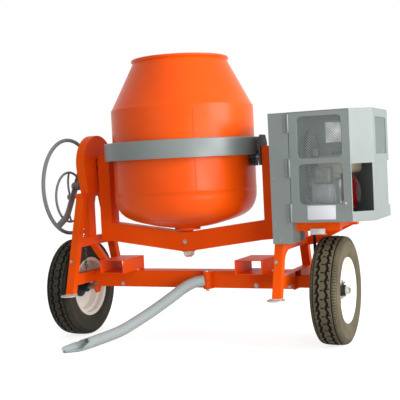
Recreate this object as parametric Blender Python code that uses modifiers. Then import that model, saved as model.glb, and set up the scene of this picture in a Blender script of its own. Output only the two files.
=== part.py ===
"""Towable tilting-drum concrete mixer, about 350 litres, driven by a petrol engine.

Metres, +Z up.  X runs along the axle and the tilt axis, +X towards the engine cabinet.
-Y is the front, where the drawbar is.  The origin is on the ground, under the drum's axis.
"""
import math

import bmesh
import bpy
from mathutils import Matrix, Vector

# ---------------------------------------------------------------- clearances
SEAT = 0.0003            # gap between two pieces that rest on each other
RUN = 0.0005             # radial gap between a shaft and the bore it turns in
SHEET = 0.003            # sheet metal of covers and doors
PLATE = 0.008            # welded steel plates

# ---------------------------------------------------------------- wheels
TYRE_RADIUS = 0.284
TYRE_WIDTH = 0.149
RIM_FLANGE_RADIUS = 0.1725
RIM_HALF_WIDTH = 0.0626
RIM_WALL = 0.004
RIM_DISC_OFFSET = 0.017  # the disc stands this far outboard of the wheel's middle
HUB_RADIUS = 0.034
HUB_INNER_END = 0.041
HUB_OUTER_END = 0.052
SPINDLE_RADIUS = 0.0175
AXLE_NUT_RADIUS = 0.026
AXLE_NUT_LENGTH = 0.016
LEFT_WHEEL_X = -0.7165
RIGHT_WHEEL_X = 0.8395
WHEEL_STEPS = 28

# ---------------------------------------------------------------- chassis
BEAM_BOTTOM = 0.292
BEAM_HEIGHT = 0.094
BEAM_DEPTH = 0.096
BEAM_WALL = 0.005
BEAM_LEFT = -0.603
BEAM_RIGHT = 0.631
AXLE_TUBE = 0.060
AXLE_INSERT = 0.20       # length of the axle tube that slides into the beam
RIGHT_AXLE_REACH = 0.100 # length of the right axle tube outside the beam
DROP_PLATE = 0.010
STAND_LEFT_X = -0.611
STAND_RIGHT_X = 0.611
LEG_WIDTH = 0.048
LEG_DEPTH = 0.042
LEG_WALL = 0.004
LEG_BOTTOM = 0.282
LEG_TOP_HALF = 0.140     # half the spread of the legs at the top plate
LEG_FOOT_HALF = 0.302    # half the spread of the legs at the bottom
TOP_PLATE_HALF = 0.150
TOP_PLATE = 0.020
CROSS_BOTTOM = 0.536
CROSS_HEIGHT = 0.050
RIGHT_CROSS_BOTTOM = 0.513
GUSSET_LOW = 0.4465       # where the curved gusset leaves the right stand's front leg
GUSSET_BACK = 0.120       # how far from the stand's middle the gusset ends
BRACE_WIDTH = 0.038       # the left stand's knee brace, measured level
BRACE_DEPTH = 0.040
BRACE_LEFT = -0.606
BRACE_FRONT = -0.0685
BRACE_LEAN = 0.763        # sideways run of the knee brace for each metre of height
RAIL_HEIGHT = 0.060
POST_WIDTH = 0.040
POST_FRONT = -0.080
POST_DEPTH = 0.070
FOOT_RADIUS = 0.047
FOOT_PLATE = 0.007
FOOT_CAP = 0.004
FOOT_FORWARD = 0.004     # the disc's middle lies this far outside the leg's outer face

# ---------------------------------------------------------------- fork pockets
POCKET_WIDTH = 0.151
POCKET_HEIGHT = 0.076
POCKET_WALL = 0.004
POCKET_FRONT = -0.193
POCKET_LENGTH = 0.248
LEFT_POCKET_X = -0.393
RIGHT_POCKET_X = 0.425

# ---------------------------------------------------------------- drawbar
HITCH_X = 0.140
HITCH_STANDOFF = 0.034   # pin axis in front of the beam
HITCH_RADIUS = 0.022
HITCH_PIN_RADIUS = 0.009
DRAWBAR_RADIUS = 0.030
DRAWBAR_WALL = 0.0035
DRAWBAR_HEADING = 57.7   # degrees from straight ahead, towards the left wheel
DRAWBAR_SCARF = 0.10     # length of the sloping cut at the tip

# ---------------------------------------------------------------- drum and yoke
TILT_Z = 1.006
DRUM_RADIUS = 0.396
DRUM_WALL = 0.004
DRUM_STEPS = 40
MOUTH_RADIUS = 0.2557
MOUTH_Z = 1.5653
LIP_RADIUS = 0.008
CONE_Z = 1.287
SEAM_Z = 0.837
DRUM_BOTTOM_Z = 0.626
BOSS_RADIUS = 0.073
BOSS_PLATE = 0.012
DRUM_SHAFT_RADIUS = 0.020
YOKE_HALF = 0.535        # half the yoke's width over its arms
ARM_TOP = 1.056
YOKE_DEPTH = 0.090
YOKE_WALL = 0.006
V_CENTRE_BOTTOM = 0.4945
V_END_BOTTOM = 0.554
V_HEIGHT = 0.107
BLADE_THICKNESS = 0.006
BLADE_REACH = 0.130
BLADE_LOW = 0.815
BLADE_HIGH = 1.200

# ---------------------------------------------------------------- ring gear and its guard
RING_TEETH = 80
PINION_TEETH = 9
RING_REACH = 0.0185      # from the drum's wall out to the middle of the ring's teeth
RING_FACE = 0.032
RING_BODY = 0.016
PRESSURE_ANGLE = math.radians(25)
BAND_GAP = 0.0125        # from the ring gear's rim out to its guard's outside
ARM_GAP = 0.031          # from the guard's outside to the yoke's right arm
LEFT_ARM_GAP = 0.0195
SHAFT_NOTCH = 0.026      # half the notch in the guard for the pinion's shaft
BAND_BOTTOM = 1.0133
BAND_HEIGHT = 0.0965
BAND_FLANGE = 0.028
BAND_STEPS = 26
COUNTERSHAFT_RADIUS = 0.018
SLEEVE_RADIUS = 0.035

# ---------------------------------------------------------------- tilt gear and handwheels
TILT_SHAFT_RADIUS = 0.0225
TILT_TEETH = 42
TILT_PINION_TEETH = 12
TILT_MODULE = 0.14 * 0.9 / 27
TILT_GEAR_WIDTH = 0.030
TILT_GEAR_X = -0.585
FLANK_STEPS = 2          # straight lines that stand for each involute flank
GUARD_RADIUS = 0.166
GUARD_FOOT_HALF = 0.128   # half the guard's width where it stands on the plate
GUARD_INNER_X = -0.556
GUARD_OUTER_X = -0.608
BEARING_PLATE = 0.012
BEARING_LENGTH = 0.026
TILT_PINION_SHAFT_RADIUS = 0.0125
HANDWHEEL_RADIUS = 0.276
HANDWHEEL_TUBE = 0.0110
HANDWHEEL_X = -0.7626
HANDWHEEL_HUB_X = -0.722
HANDWHEEL_HUB_RADIUS = 0.024
HANDWHEEL_BAR_ANGLE = 57.0   # degrees of the bar above the horizontal, leaning back
HANDWHEEL_BAR_WIDTH = 0.050
HANDWHEEL_BAR_THICK = 0.006
LOCK_RADIUS = 0.153
LOCK_TUBE = 0.007
LOCK_X = -0.750
LOCK_OFFSET = 0.066          # the lock wheel's screw, down the bar from the handwheel's shaft
LOCK_SIDE = 0.012            # how far the screw is off the bar's middle line
LOCK_SCREW_RADIUS = 0.008

# ---------------------------------------------------------------- engine cabinet
CAB_FRONT = -0.280
CAB_BACK = 0.141
CAB_TOP = 1.2099
CAB_BOTTOM = 0.661
CAB_CORNER_X = 1.0109
CAB_SIDE_X = 1.1087
CAB_CORNER_Y = -0.2026
CAB_INNER_X = 0.662
COLUMN_LEFT = 0.6003
COLUMN_RIGHT = 0.7026
COLUMN_BOTTOM = 0.556
COLUMN_BACK = -0.066
COLUMN_RETURN = 0.045
DOOR_GAP = 0.0025
DOOR_FLANGE = 0.016
WINDOW_LEFT = 0.749
WINDOW_WIDTH = 0.222
WINDOW_RADIUS = 0.022
UPPER_WINDOW = (0.9776, 1.183)
LOWER_WINDOW = (0.7511, 0.9494)
HINGE_RADIUS = 0.0055
HINGE_LENGTH = 0.093
HINGE_BOTTOMS = (0.664, 0.886, 1.108)
CUTOUT = (0.7103, 0.943)
VENT = (0.985, 1.168)
VENT_FRONT = -0.153
VENT_BACK = 0.095
NOTCH = (0.717, 0.949)
NOTCH_DEPTH = 0.040
MESH_BAR = 0.006
MESH_PITCH = 0.052
MESH_THICK = 0.002

# ---------------------------------------------------------------- engine and belt drive
BASE_BOTTOM = 0.6135
BASE_HEIGHT = 0.038
BASE_RAIL = 0.050
BASE_END = 0.925
BRACE_FOOT_Z = 0.501      # where the cabinet's brace leaves the right stand's rear leg
CRANK_Y = -0.045
CRANK_Z = 0.795
CRANK_RADIUS = 0.0125
PULLEY_X = 0.737
PULLEY_WIDTH = 0.030
BIG_PULLEY_RADIUS = 0.130
SMALL_PULLEY_RADIUS = 0.041
BELT_WIDTH = 0.016
BELT_THICK = 0.009
GROOVE = 0.010
CRANKCASE_LEFT = 0.768
CRANKCASE_RIGHT = 0.925
FAN_WIDTH = 0.046
FAN_RADIUS = 0.096
RECOIL_RADIUS = 0.072
RECOIL_DEPTH = 0.018
TANK_BOTTOM = 0.8925
TANK_HEIGHT = 0.095

# ---------------------------------------------------------------- places worked out from the sizes
AXLE_Z = TYRE_RADIUS
BEAM_FRONT = -BEAM_DEPTH / 2
BEAM_TOP = BEAM_BOTTOM + BEAM_HEIGHT
TOP_PLATE_Z = TILT_Z - GUARD_RADIUS - SEAT
UNDER_TOP_PLATE = TOP_PLATE_Z - TOP_PLATE - 0.001   # a bead of weld below the plate
BAND_TOP = BAND_BOTTOM + BAND_HEIGHT
RING_PITCH_RADIUS = DRUM_RADIUS + RING_REACH
BAND_RADIUS = RING_PITCH_RADIUS + RING_FACE / 2 + BAND_GAP
ARM_INNER = BAND_RADIUS + ARM_GAP
LEFT_ARM_INNER = BAND_RADIUS + LEFT_ARM_GAP
PINION_PITCH_RADIUS = RING_PITCH_RADIUS * PINION_TEETH / RING_TEETH
RING_MODULE = 2 * RING_PITCH_RADIUS / RING_TEETH
RING_ADDENDUM = 0.70 * RING_MODULE
RING_DEDENDUM = 1.02 * RING_MODULE
TILT_GEAR_RADIUS = TILT_MODULE * TILT_TEETH / 2
TILT_PINION_RADIUS = TILT_MODULE * TILT_PINION_TEETH / 2
HAND_Z = TILT_Z - TILT_GEAR_RADIUS - TILT_PINION_RADIUS
HITCH_Y = BEAM_FRONT - HITCH_STANDOFF

COLOURS = {
    "orange_paint": ((0.85, 0.13, 0.01), 0.30, 0.0),
    "grey_paint": ((0.22, 0.25, 0.245), 0.45, 0.0),
    "light_grey_paint": ((0.45, 0.52, 0.53), 0.42, 0.0),
    "cream_paint": ((0.86, 0.84, 0.74), 0.40, 0.0),
    "black_paint": ((0.02, 0.02, 0.02), 0.50, 0.0),
    "red_paint": ((0.55, 0.02, 0.02), 0.35, 0.0),
    "tyre_rubber": ((0.03, 0.03, 0.03), 0.85, 0.0),
    "belt_rubber": ((0.02, 0.02, 0.02), 0.80, 0.0),
    "cast_iron": ((0.10, 0.10, 0.10), 0.65, 0.8),
    "plated_steel": ((0.62, 0.62, 0.60), 0.30, 1.0),
    "cast_aluminium": ((0.50, 0.50, 0.50), 0.50, 1.0),
    "tan_plastic": ((0.55, 0.50, 0.40), 0.50, 0.0),
    "black_plastic": ((0.02, 0.02, 0.02), 0.40, 0.0),
}


# ================================================================ helpers
def clear_scene():
    """Remove what the scene holds, and make the two collections."""
    for old in list(bpy.data.objects):
        bpy.data.objects.remove(old, do_unlink=True)
    parts = bpy.data.collections.new("concrete_mixer")
    bpy.context.scene.collection.children.link(parts)
    return parts


def paint(piece, name):
    """Give a piece its finish, one Principled material for each named finish."""
    finish = bpy.data.materials.get(name)
    if finish is None:
        finish = bpy.data.materials.new(name)
        finish.use_nodes = True
        colour, roughness, metallic = COLOURS[name]
        shader = finish.node_tree.nodes["Principled BSDF"]
        shader.inputs["Base Color"].default_value = (*colour, 1.0)
        shader.inputs["Roughness"].default_value = roughness
        shader.inputs["Metallic"].default_value = metallic
        finish.diffuse_color = (*colour, 1.0)
    piece.data.materials.clear()
    piece.data.materials.append(finish)
    return piece


def object_from(name, mesh):
    piece = bpy.data.objects.new(name, mesh)
    PARTS.objects.link(piece)
    return piece


def baked(piece):
    """Replace a piece by its evaluated mesh, with doubles merged and faces pointing out."""
    bpy.context.view_layer.update()
    graph = bpy.context.evaluated_depsgraph_get()
    mesh = bpy.data.meshes.new_from_object(piece.evaluated_get(graph))
    mesh.transform(piece.matrix_world)
    shape = bmesh.new()
    shape.from_mesh(mesh)
    bmesh.ops.remove_doubles(shape, verts=shape.verts, dist=0.00002)
    bmesh.ops.recalc_face_normals(shape, faces=shape.faces)
    shape.to_mesh(mesh)
    shape.free()
    name = piece.name
    bpy.data.objects.remove(piece, do_unlink=True)
    return object_from(name, mesh)


def box(name, low, high):
    """A box between two corners."""
    shape = bmesh.new()
    bmesh.ops.create_cube(shape, size=1.0)
    size = [b - a for a, b in zip(low, high)]
    middle = [(a + b) / 2 for a, b in zip(low, high)]
    bmesh.ops.scale(shape, vec=size, verts=shape.verts)
    bmesh.ops.translate(shape, vec=middle, verts=shape.verts)
    mesh = bpy.data.meshes.new(name)
    shape.to_mesh(mesh)
    shape.free()
    return object_from(name, mesh)


AXIS_TURN = {
    "X": Matrix(((0, 0, 1, 0), (1, 0, 0, 0), (0, 1, 0, 0), (0, 0, 0, 1))),
    "Y": Matrix(((1, 0, 0, 0), (0, 0, 1, 0), (0, 1, 0, 0), (0, 0, 0, 1))),
    "Z": Matrix.Identity(4),
}


def plate(name, outlines, axis, low, high):
    """A flat outline, with any holes, given its thickness along an axis.

    An outline's points are (Y, Z) for axis X, (X, Z) for axis Y and (X, Y) for axis Z.
    """
    curve = bpy.data.curves.new(name, "CURVE")
    curve.dimensions = "2D"
    curve.fill_mode = "BOTH"
    curve.extrude = (high - low) / 2
    for outline in outlines:
        spline = curve.splines.new("POLY")
        spline.points.add(len(outline) - 1)
        for point, (u, v) in zip(spline.points, outline):
            point.co = (u, v, 0, 1)
        spline.use_cyclic_u = True
    piece = object_from(name, curve)
    piece.matrix_world = AXIS_TURN[axis] @ Matrix.Translation((0, 0, (low + high) / 2))
    return baked(piece)


def turned(name, profile, axis, centre, steps, closed=True, start=0.0):
    """A profile of (radius, height) points turned about an axis through a centre."""
    mesh = bpy.data.meshes.new(name)
    links = [(i, i + 1) for i in range(len(profile) - 1)]
    if closed:
        links.append((len(profile) - 1, 0))
    mesh.from_pydata([(r, 0, h) for r, h in profile], links, [])
    piece = object_from(name, mesh)
    screw = piece.modifiers.new("turn", "SCREW")
    screw.steps = steps
    screw.render_steps = steps
    screw.use_merge_vertices = True
    screw.merge_threshold = 0.00001
    spin = Matrix.Rotation(math.radians(start), 4, "Z")
    piece.matrix_world = Matrix.Translation(centre) @ AXIS_TURN[axis] @ spin
    return baked(piece)


def rod(name, radius, axis, centre, low, high, steps=20):
    """A plain round bar between two places on an axis."""
    profile = [(0, high), (radius, high), (radius, low), (0, low)]
    return turned(name, profile, axis, centre, steps, closed=False)


def tube(name, route, radius, resolution=2):
    """A round bar along a route of points."""
    curve = bpy.data.curves.new(name, "CURVE")
    curve.dimensions = "3D"
    curve.bevel_depth = radius
    curve.bevel_resolution = resolution
    curve.use_fill_caps = True
    spline = curve.splines.new("POLY")
    spline.points.add(len(route) - 1)
    for point, place in zip(spline.points, route):
        point.co = (*place, 1)
    return baked(object_from(name, curve))


def ring(name, major, minor, axis, centre, major_steps, minor_steps):
    """A torus about an axis."""
    bpy.ops.mesh.primitive_torus_add(major_radius=major, minor_radius=minor,
                                     major_segments=major_steps, minor_segments=minor_steps)
    piece = bpy.context.object
    for owner in list(piece.users_collection):
        owner.objects.unlink(piece)
    PARTS.objects.link(piece)
    piece.name = name
    piece.matrix_world = Matrix.Translation(centre) @ AXIS_TURN[axis]
    return baked(piece)


def combine(target, other, operation):
    """Join another shape to a piece, or cut it away, and remove the other shape."""
    step = target.modifiers.new("step", "BOOLEAN")
    step.operation = operation
    step.object = other
    result = baked(target)
    bpy.data.objects.remove(other, do_unlink=True)
    return result


def join(target, *others):
    for other in others:
        target = combine(target, other, "UNION")
    return target


def cut(target, *others):
    for other in others:
        target = combine(target, other, "DIFFERENCE")
    return target


def rounded(piece, width, segments=1):
    """Round the edges of a piece."""
    edge = piece.modifiers.new("edge", "BEVEL")
    edge.width = width
    edge.segments = segments
    edge.limit_method = "ANGLE"
    return baked(piece)


def smooth(piece, degrees=32):
    piece.data.shade_smooth()
    piece.data.set_sharp_from_angle(angle=math.radians(degrees))
    return piece


def rounded_outline(low, high, radius, points=4):
    """A rectangle with round corners, counter-clockwise."""
    outline = []
    corners = ((high[0], high[1], 0), (low[0], high[1], 90), (low[0], low[1], 180), (high[0], low[1], 270))
    for x, y, first in corners:
        cx = x - radius * (1 if x == high[0] else -1)
        cy = y - radius * (1 if y == high[1] else -1)
        for i in range(points):
            angle = math.radians(first + 90 * i / (points - 1))
            outline.append((cx + radius * math.cos(angle), cy + radius * math.sin(angle)))
    return outline


def circle(centre, radius, steps):
    return [(centre[0] + radius * math.cos(2 * math.pi * i / steps),
             centre[1] + radius * math.sin(2 * math.pi * i / steps)) for i in range(steps)]


def bore(radius, steps=20):
    """The corner radius of a faceted bore whose flats clear a shaft of this radius."""
    return (radius + RUN) / math.cos(math.pi / steps)


def origin_at(piece, point):
    """Put a piece's origin at a point, with its shape where it was."""
    piece.data.transform(Matrix.Translation(-Vector(point)))
    piece.location = point
    return piece


def hang(pivot_name, point, pieces):
    """Hang moving pieces from an empty on their joint's axis."""
    pivot = bpy.data.objects.new(pivot_name, None)
    pivot.empty_display_size = 0.05
    pivot.location = point
    PARTS.objects.link(pivot)
    for piece in pieces:
        piece.data.transform(Matrix.Translation(-Vector(point)))
        piece.parent = pivot
    return pivot


# ================================================================ wheels
def tyre_profile():
    """Half the tyre's outer section, from the bead up to the shoulder."""
    flat = math.cos(math.pi / WHEEL_STEPS)
    top = TYRE_RADIUS / flat
    half = TYRE_WIDTH / 2
    return [
        (RIM_FLANGE_RADIUS - 0.017, RIM_HALF_WIDTH - 0.007),
        (RIM_FLANGE_RADIUS + 0.002, RIM_HALF_WIDTH - 0.0045),
        (RIM_FLANGE_RADIUS + 0.020, half - 0.006),
        (top - 0.062, half),
        (top - 0.028, half - 0.004),
        (top - 0.008, half - 0.013),
        (top - 0.001, half - 0.030),
        (top, 0.015),
    ]


def tyre_inner_profile():
    """Half the tyre's inner side, from under the tread back to the bead."""
    half = TYRE_WIDTH / 2
    return [
        (TYRE_RADIUS - 0.020, 0.040),
        (TYRE_RADIUS - 0.050, half - 0.010),
        (RIM_FLANGE_RADIUS - 0.017, RIM_HALF_WIDTH - 0.022),
    ]


def make_tyre(name, x):
    outer = tyre_profile()
    inner = tyre_inner_profile()
    section = outer + [(r, -h) for r, h in reversed(outer)]
    section += [(r, -h) for r, h in reversed(inner)] + inner
    half_step = 180 / WHEEL_STEPS
    tyre = turned(name, section, "X", (x, 0, AXLE_Z), WHEEL_STEPS, start=half_step)
    return smooth(paint(tyre, "tyre_rubber"))


def rim_section(outboard):
    """The rim's closed section: flanges, bead seats, drop centre and the disc."""
    seat = RIM_FLANGE_RADIUS - 0.0180
    drop = seat - 0.0165
    disc = RIM_DISC_OFFSET
    wall = RIM_WALL
    bore_radius = HUB_RADIUS + SEAT * 2
    section = [
        (RIM_FLANGE_RADIUS, RIM_HALF_WIDTH),
        (seat, RIM_HALF_WIDTH - 0.004),
        (seat - 0.001, 0.030),
        (drop, 0.022),
        (drop, -0.022),
        (seat - 0.001, -0.030),
        (seat, 0.004 - RIM_HALF_WIDTH),
        (RIM_FLANGE_RADIUS, -RIM_HALF_WIDTH),
        (seat - wall, -RIM_HALF_WIDTH),
        (seat - wall - 0.001, -0.033),
        (drop - wall, -0.025),
        (drop - wall, disc - wall),
        (0.075, disc - wall),
        (bore_radius, disc - wall + 0.004),
        (bore_radius, disc + 0.004),
        (0.075, disc),
        (drop - wall, disc + 0.002),
        (seat - wall - 0.001, 0.033),
        (seat - wall, RIM_HALF_WIDTH),
    ]
    return [(r, h * outboard) for r, h in section]


def make_wheel(side, x, outboard):
    tyre = make_tyre(side + "_tyre", x)
    rim = turned(side + "_rim", rim_section(outboard), "X", (x, 0, AXLE_Z), WHEEL_STEPS)
    rim = smooth(paint(rim, "cream_paint"))
    disc_face = RIM_DISC_OFFSET - RIM_WALL - SEAT
    hole = bore(SPINDLE_RADIUS)
    section = [
        (hole, HUB_OUTER_END),
        (HUB_RADIUS * 0.8, HUB_OUTER_END),
        (HUB_RADIUS, HUB_OUTER_END - 0.006),
        (HUB_RADIUS, disc_face),
        (0.062, disc_face),
        (0.062, disc_face - 0.008),
        (HUB_RADIUS, disc_face - 0.008),
        (HUB_RADIUS, -HUB_INNER_END),
        (hole, -HUB_INNER_END),
    ]
    section = [(r, h * outboard) for r, h in section]
    hub = turned(side + "_hub", section, "X", (x, 0, AXLE_Z), 20)
    hub = smooth(paint(hub, "black_paint"))
    hang(side + "_wheel_axis", (x, 0, AXLE_Z), [tyre, rim, hub])


def make_axle_nut(side, x, outboard):
    start = x + outboard * (HUB_OUTER_END + SEAT)
    end = start + outboard * AXLE_NUT_LENGTH
    outer = circle((0, AXLE_Z), AXLE_NUT_RADIUS, 6)
    hole = circle((0, AXLE_Z), SPINDLE_RADIUS * 0.8 + 0.0012, 20)
    nut = plate(side + "_axle_nut", [outer, hole], "X", min(start, end), max(start, end))
    return paint(nut, "plated_steel")


def spindle(x, outboard, root):
    """The round spindle a wheel turns on, stepped down where its nut is screwed on."""
    inner = root
    shoulder = x + outboard * (HUB_OUTER_END - 0.004)
    end = x + outboard * (HUB_OUTER_END + AXLE_NUT_LENGTH + 0.006)
    body = rod("spindle", SPINDLE_RADIUS, "X", (0, 0, AXLE_Z), min(inner, shoulder), max(inner, shoulder))
    tip = rod("spindle_tip", SPINDLE_RADIUS * 0.8, "X", (0, 0, AXLE_Z),
              min(shoulder - outboard * 0.01, end), max(shoulder - outboard * 0.01, end))
    return join(body, tip)


def drop_plate_outline(top):
    half = AXLE_TUBE / 2 + 0.012
    return [(-half, top), (-half, AXLE_Z), (-0.018, AXLE_Z - 0.036), (0.018, AXLE_Z - 0.036),
            (half, AXLE_Z), (half, top)]


def make_axle(side, x, outboard, beam_end, reach):
    """Axle: a tube that slides into the beam, a drop plate and the wheel's spindle."""
    floor = BEAM_BOTTOM + BEAM_WALL + SEAT
    start = beam_end - outboard * AXLE_INSERT
    outer = beam_end + outboard * (reach + SEAT)
    half = AXLE_TUBE / 2
    bar = box(side + "_axle", (min(start, outer), -half, floor), (max(start, outer), half, floor + AXLE_TUBE))
    end = outer + outboard * DROP_PLATE
    inner = outer - outboard * 0.001 if reach > 0 else outer
    drop = plate("drop", [drop_plate_outline(floor + AXLE_TUBE)], "X", min(inner, end), max(inner, end))
    bar = join(bar, drop, spindle(x, outboard, outer + outboard * 0.002))
    return smooth(paint(bar, "orange_paint"))


# ================================================================ chassis
def leg_front(z):
    """The Y of a front leg's front face at a height."""
    slope = (LEG_FOOT_HALF - LEG_TOP_HALF) / (TOP_PLATE_Z - TOP_PLATE - LEG_BOTTOM)
    return -(LEG_FOOT_HALF - slope * (z - LEG_BOTTOM))


def leg_outline(side, inset, low, high):
    """A leg's side view; side is -1 for the front leg and 1 for the rear one."""
    front_low = leg_front(low)
    front_high = leg_front(high)
    points = [(front_low + inset, low), (front_low + LEG_DEPTH - inset, low),
              (front_high + LEG_DEPTH - inset, high), (front_high + inset, high)]
    return [(-side * y, z) for y, z in points]


def leg_edge(z, inner):
    """How far a leg's outer or inner edge is from the stand's middle at a height."""
    return -leg_front(z) - (LEG_DEPTH if inner else 0)


def mirrored(points):
    """An outline's second half, mirrored across the stand's middle."""
    return points + [(-y, z) for y, z in reversed(points)]


def stand_opening(low, high):
    """The opening between the legs from one height to another."""
    return mirrored([(-leg_edge(low, True), low), (-leg_edge(high, True), high)])


def stand_blank(name, x, lower_edge, openings, rear_edge=None):
    """Two splayed legs, their top plate and cross members, from one outline; it is symmetrical
    unless the rear half has a lower edge of its own."""
    under = TOP_PLATE_Z - TOP_PLATE
    outer = [(TOP_PLATE_HALF, under), (leg_edge(under, False), under - 0.003), (LEG_FOOT_HALF, LEG_BOTTOM),
             (leg_edge(LEG_BOTTOM, True), LEG_BOTTOM)]
    half = [(-y, z) for y, z in [(TOP_PLATE_HALF, TOP_PLATE_Z)] + outer] + lower_edge
    rear = [(-y, z) for y, z in reversed(half if rear_edge is None else half[:-len(lower_edge)] + rear_edge)]
    holes = [stand_opening(low, high) for low, high in openings]
    return plate(name, [half + rear] + holes, "X", x - LEG_WIDTH / 2, x + LEG_WIDTH / 2)


def hollow_legs(body, x):
    """Open each leg's tube from below."""
    for side in (-1, 1):
        outline = leg_outline(side, LEG_WALL, LEG_BOTTOM - 0.002, TOP_PLATE_Z - TOP_PLATE - LEG_WALL)
        inner = plate("leg_bore", [outline], "X", x - LEG_WIDTH / 2 + LEG_WALL, x + LEG_WIDTH / 2 - LEG_WALL)
        body = cut(body, inner)
    return body


def make_left_stand():
    """The left stand: its lower rail crosses in front of the beam's end."""
    x = STAND_LEFT_X
    low = BEAM_TOP - RAIL_HEIGHT
    openings = [(BEAM_TOP, CROSS_BOTTOM), (CROSS_BOTTOM + CROSS_HEIGHT, UNDER_TOP_PLATE)]
    body = stand_blank("left_stand", x, [(-leg_edge(low, True), low)], openings)
    post = box("post", (x - POST_WIDTH / 2, POST_FRONT, CROSS_BOTTOM + CROSS_HEIGHT - 0.001),
               (x + POST_WIDTH / 2, POST_FRONT + POST_DEPTH, TOP_PLATE_Z - TOP_PLATE + 0.001))
    body = hollow_legs(join(body, post, bearing_bracket(), knee_brace()), x)
    wide = BEAM_DEPTH / 2 + SEAT
    beam_way = box("beam_way", (BEAM_LEFT - DROP_PLATE - SEAT * 2, -wide, BEAM_TOP - RAIL_HEIGHT - 0.01),
                   (x + 0.05, wide, BEAM_TOP + SEAT))
    body = cut(body, beam_way,
               rod("shaft_bore", bore(TILT_SHAFT_RADIUS), "X", (0, 0, TILT_Z), -0.7, -0.6),
               rod("pinion_bore", bore(TILT_PINION_SHAFT_RADIUS), "X", (0, 0, HAND_Z), -0.7, -0.6))
    return paint(body, "orange_paint")


def knee_brace():
    """The slanting tube from the left cross member down to the beam beside its fork pocket."""
    top = CROSS_BOTTOM + 0.001
    low = BEAM_TOP + SEAT
    side = LEFT_POCKET_X - POCKET_WIDTH / 2 - SEAT
    right = BRACE_LEFT + BRACE_WIDTH
    outline = [(BRACE_LEFT, top), (BRACE_LEFT + (top - low) * BRACE_LEAN, low), (side, low),
               (side, top - (side - right) / BRACE_LEAN), (right, top)]
    return plate("knee_brace", [outline], "Y", BRACE_FRONT, BRACE_FRONT + BRACE_DEPTH)


def bearing_bracket():
    """The upright plate behind the tilt gear, which carries both shaft bearings."""
    high = GUARD_OUTER_X - SEAT
    outline = [(-0.110, TOP_PLATE_Z - 0.001), (0.110, TOP_PLATE_Z - 0.001), (0.055, TILT_Z + 0.040)]
    outline += [(0.030, TILT_Z + 0.058), (-0.030, TILT_Z + 0.058), (-0.055, TILT_Z + 0.040)]
    return plate("bracket", [outline], "X", high - BEARING_PLATE, high)


def make_right_stand():
    """The right stand: its lower rail stops on each side of the beam."""
    x = STAND_RIGHT_X
    high = BEAM_TOP
    low = high - RAIL_HEIGHT
    near = BEAM_DEPTH / 2 + SEAT
    beside = [(-leg_edge(low, True), low), (-near, low), (-near, high), (-leg_edge(high, True), high)]
    cross = RIGHT_CROSS_BOTTOM
    start = (-leg_edge(GUSSET_LOW, True), GUSSET_LOW)
    arc = []
    for step in range(7):
        angle = math.radians(15 * step)
        arc.append((start[0] + (-GUSSET_BACK - start[0]) * (1 - math.cos(angle)),
                    start[1] + (cross - start[1]) * math.sin(angle)))
    openings = [(CROSS_BOTTOM + CROSS_HEIGHT, UNDER_TOP_PLATE)]
    body = stand_blank("right_stand", x, beside + arc, openings, beside + [(-leg_edge(cross, True), cross)])
    return paint(hollow_legs(body, x), "orange_paint")


def make_beam():
    low = (BEAM_LEFT, BEAM_FRONT, BEAM_BOTTOM)
    high = (BEAM_RIGHT, -BEAM_FRONT, BEAM_TOP)
    body = box("cross_beam", low, high)
    collar = box("collar", (BEAM_RIGHT - 0.010, BEAM_FRONT, BEAM_BOTTOM - 0.004),
                 (BEAM_RIGHT, -BEAM_FRONT, BEAM_BOTTOM + 0.020))
    lug_outline = [(HITCH_X - 0.030, BEAM_FRONT + 0.002), (HITCH_X - HITCH_RADIUS, HITCH_Y)]
    lug_outline += [(HITCH_X + HITCH_RADIUS * math.cos(a), HITCH_Y + HITCH_RADIUS * math.sin(a))
                    for a in [math.radians(180 + 22.5 * i) for i in range(1, 9)]]
    lug_outline += [(HITCH_X + 0.030, BEAM_FRONT + 0.002)]
    lower = plate("lower_lug", [lug_outline], "Z", BEAM_BOTTOM, BEAM_BOTTOM + PLATE)
    upper = plate("upper_lug", [lug_outline], "Z", BEAM_TOP - PLATE, BEAM_TOP)
    body = join(body, collar, lower, upper)
    inside = box("inside", (BEAM_LEFT - 0.01, BEAM_FRONT + BEAM_WALL, BEAM_BOTTOM + BEAM_WALL),
                 (BEAM_RIGHT + 0.01, -BEAM_FRONT - BEAM_WALL, BEAM_TOP - BEAM_WALL))
    pin_hole = rod("pin_hole", bore(HITCH_PIN_RADIUS, 16), "Z", (HITCH_X, HITCH_Y, 0),
                   BEAM_BOTTOM - 0.01, BEAM_TOP + 0.01, 16)
    return paint(cut(body, inside, pin_hole), "orange_paint")


def make_hitch_pin():
    """The headed pin that the drawbar swings on."""
    head = BEAM_TOP + SEAT
    profile = [(0, head + 0.007), (0.014, head + 0.007), (0.014, head),
               (HITCH_PIN_RADIUS, head), (HITCH_PIN_RADIUS, BEAM_BOTTOM - 0.012), (0, BEAM_BOTTOM - 0.012)]
    pin = turned("hitch_pin", profile, "Z", (HITCH_X, HITCH_Y, 0), 16, closed=False)
    return smooth(paint(pin, "plated_steel"))


def make_pocket(name, x):
    """A rectangular tube on the beam that takes a lift truck's fork."""
    floor = BEAM_TOP + SEAT
    half = POCKET_WIDTH / 2
    back = POCKET_FRONT + POCKET_LENGTH
    body = box(name, (x - half, POCKET_FRONT, floor), (x + half, back, floor + POCKET_HEIGHT))
    inner = box("inner", (x - half + POCKET_WALL, POCKET_FRONT - 0.01, floor + POCKET_WALL),
                (x + half - POCKET_WALL, back + 0.01, floor + POCKET_HEIGHT - POCKET_WALL))
    return paint(cut(body, inner), "orange_paint")


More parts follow.
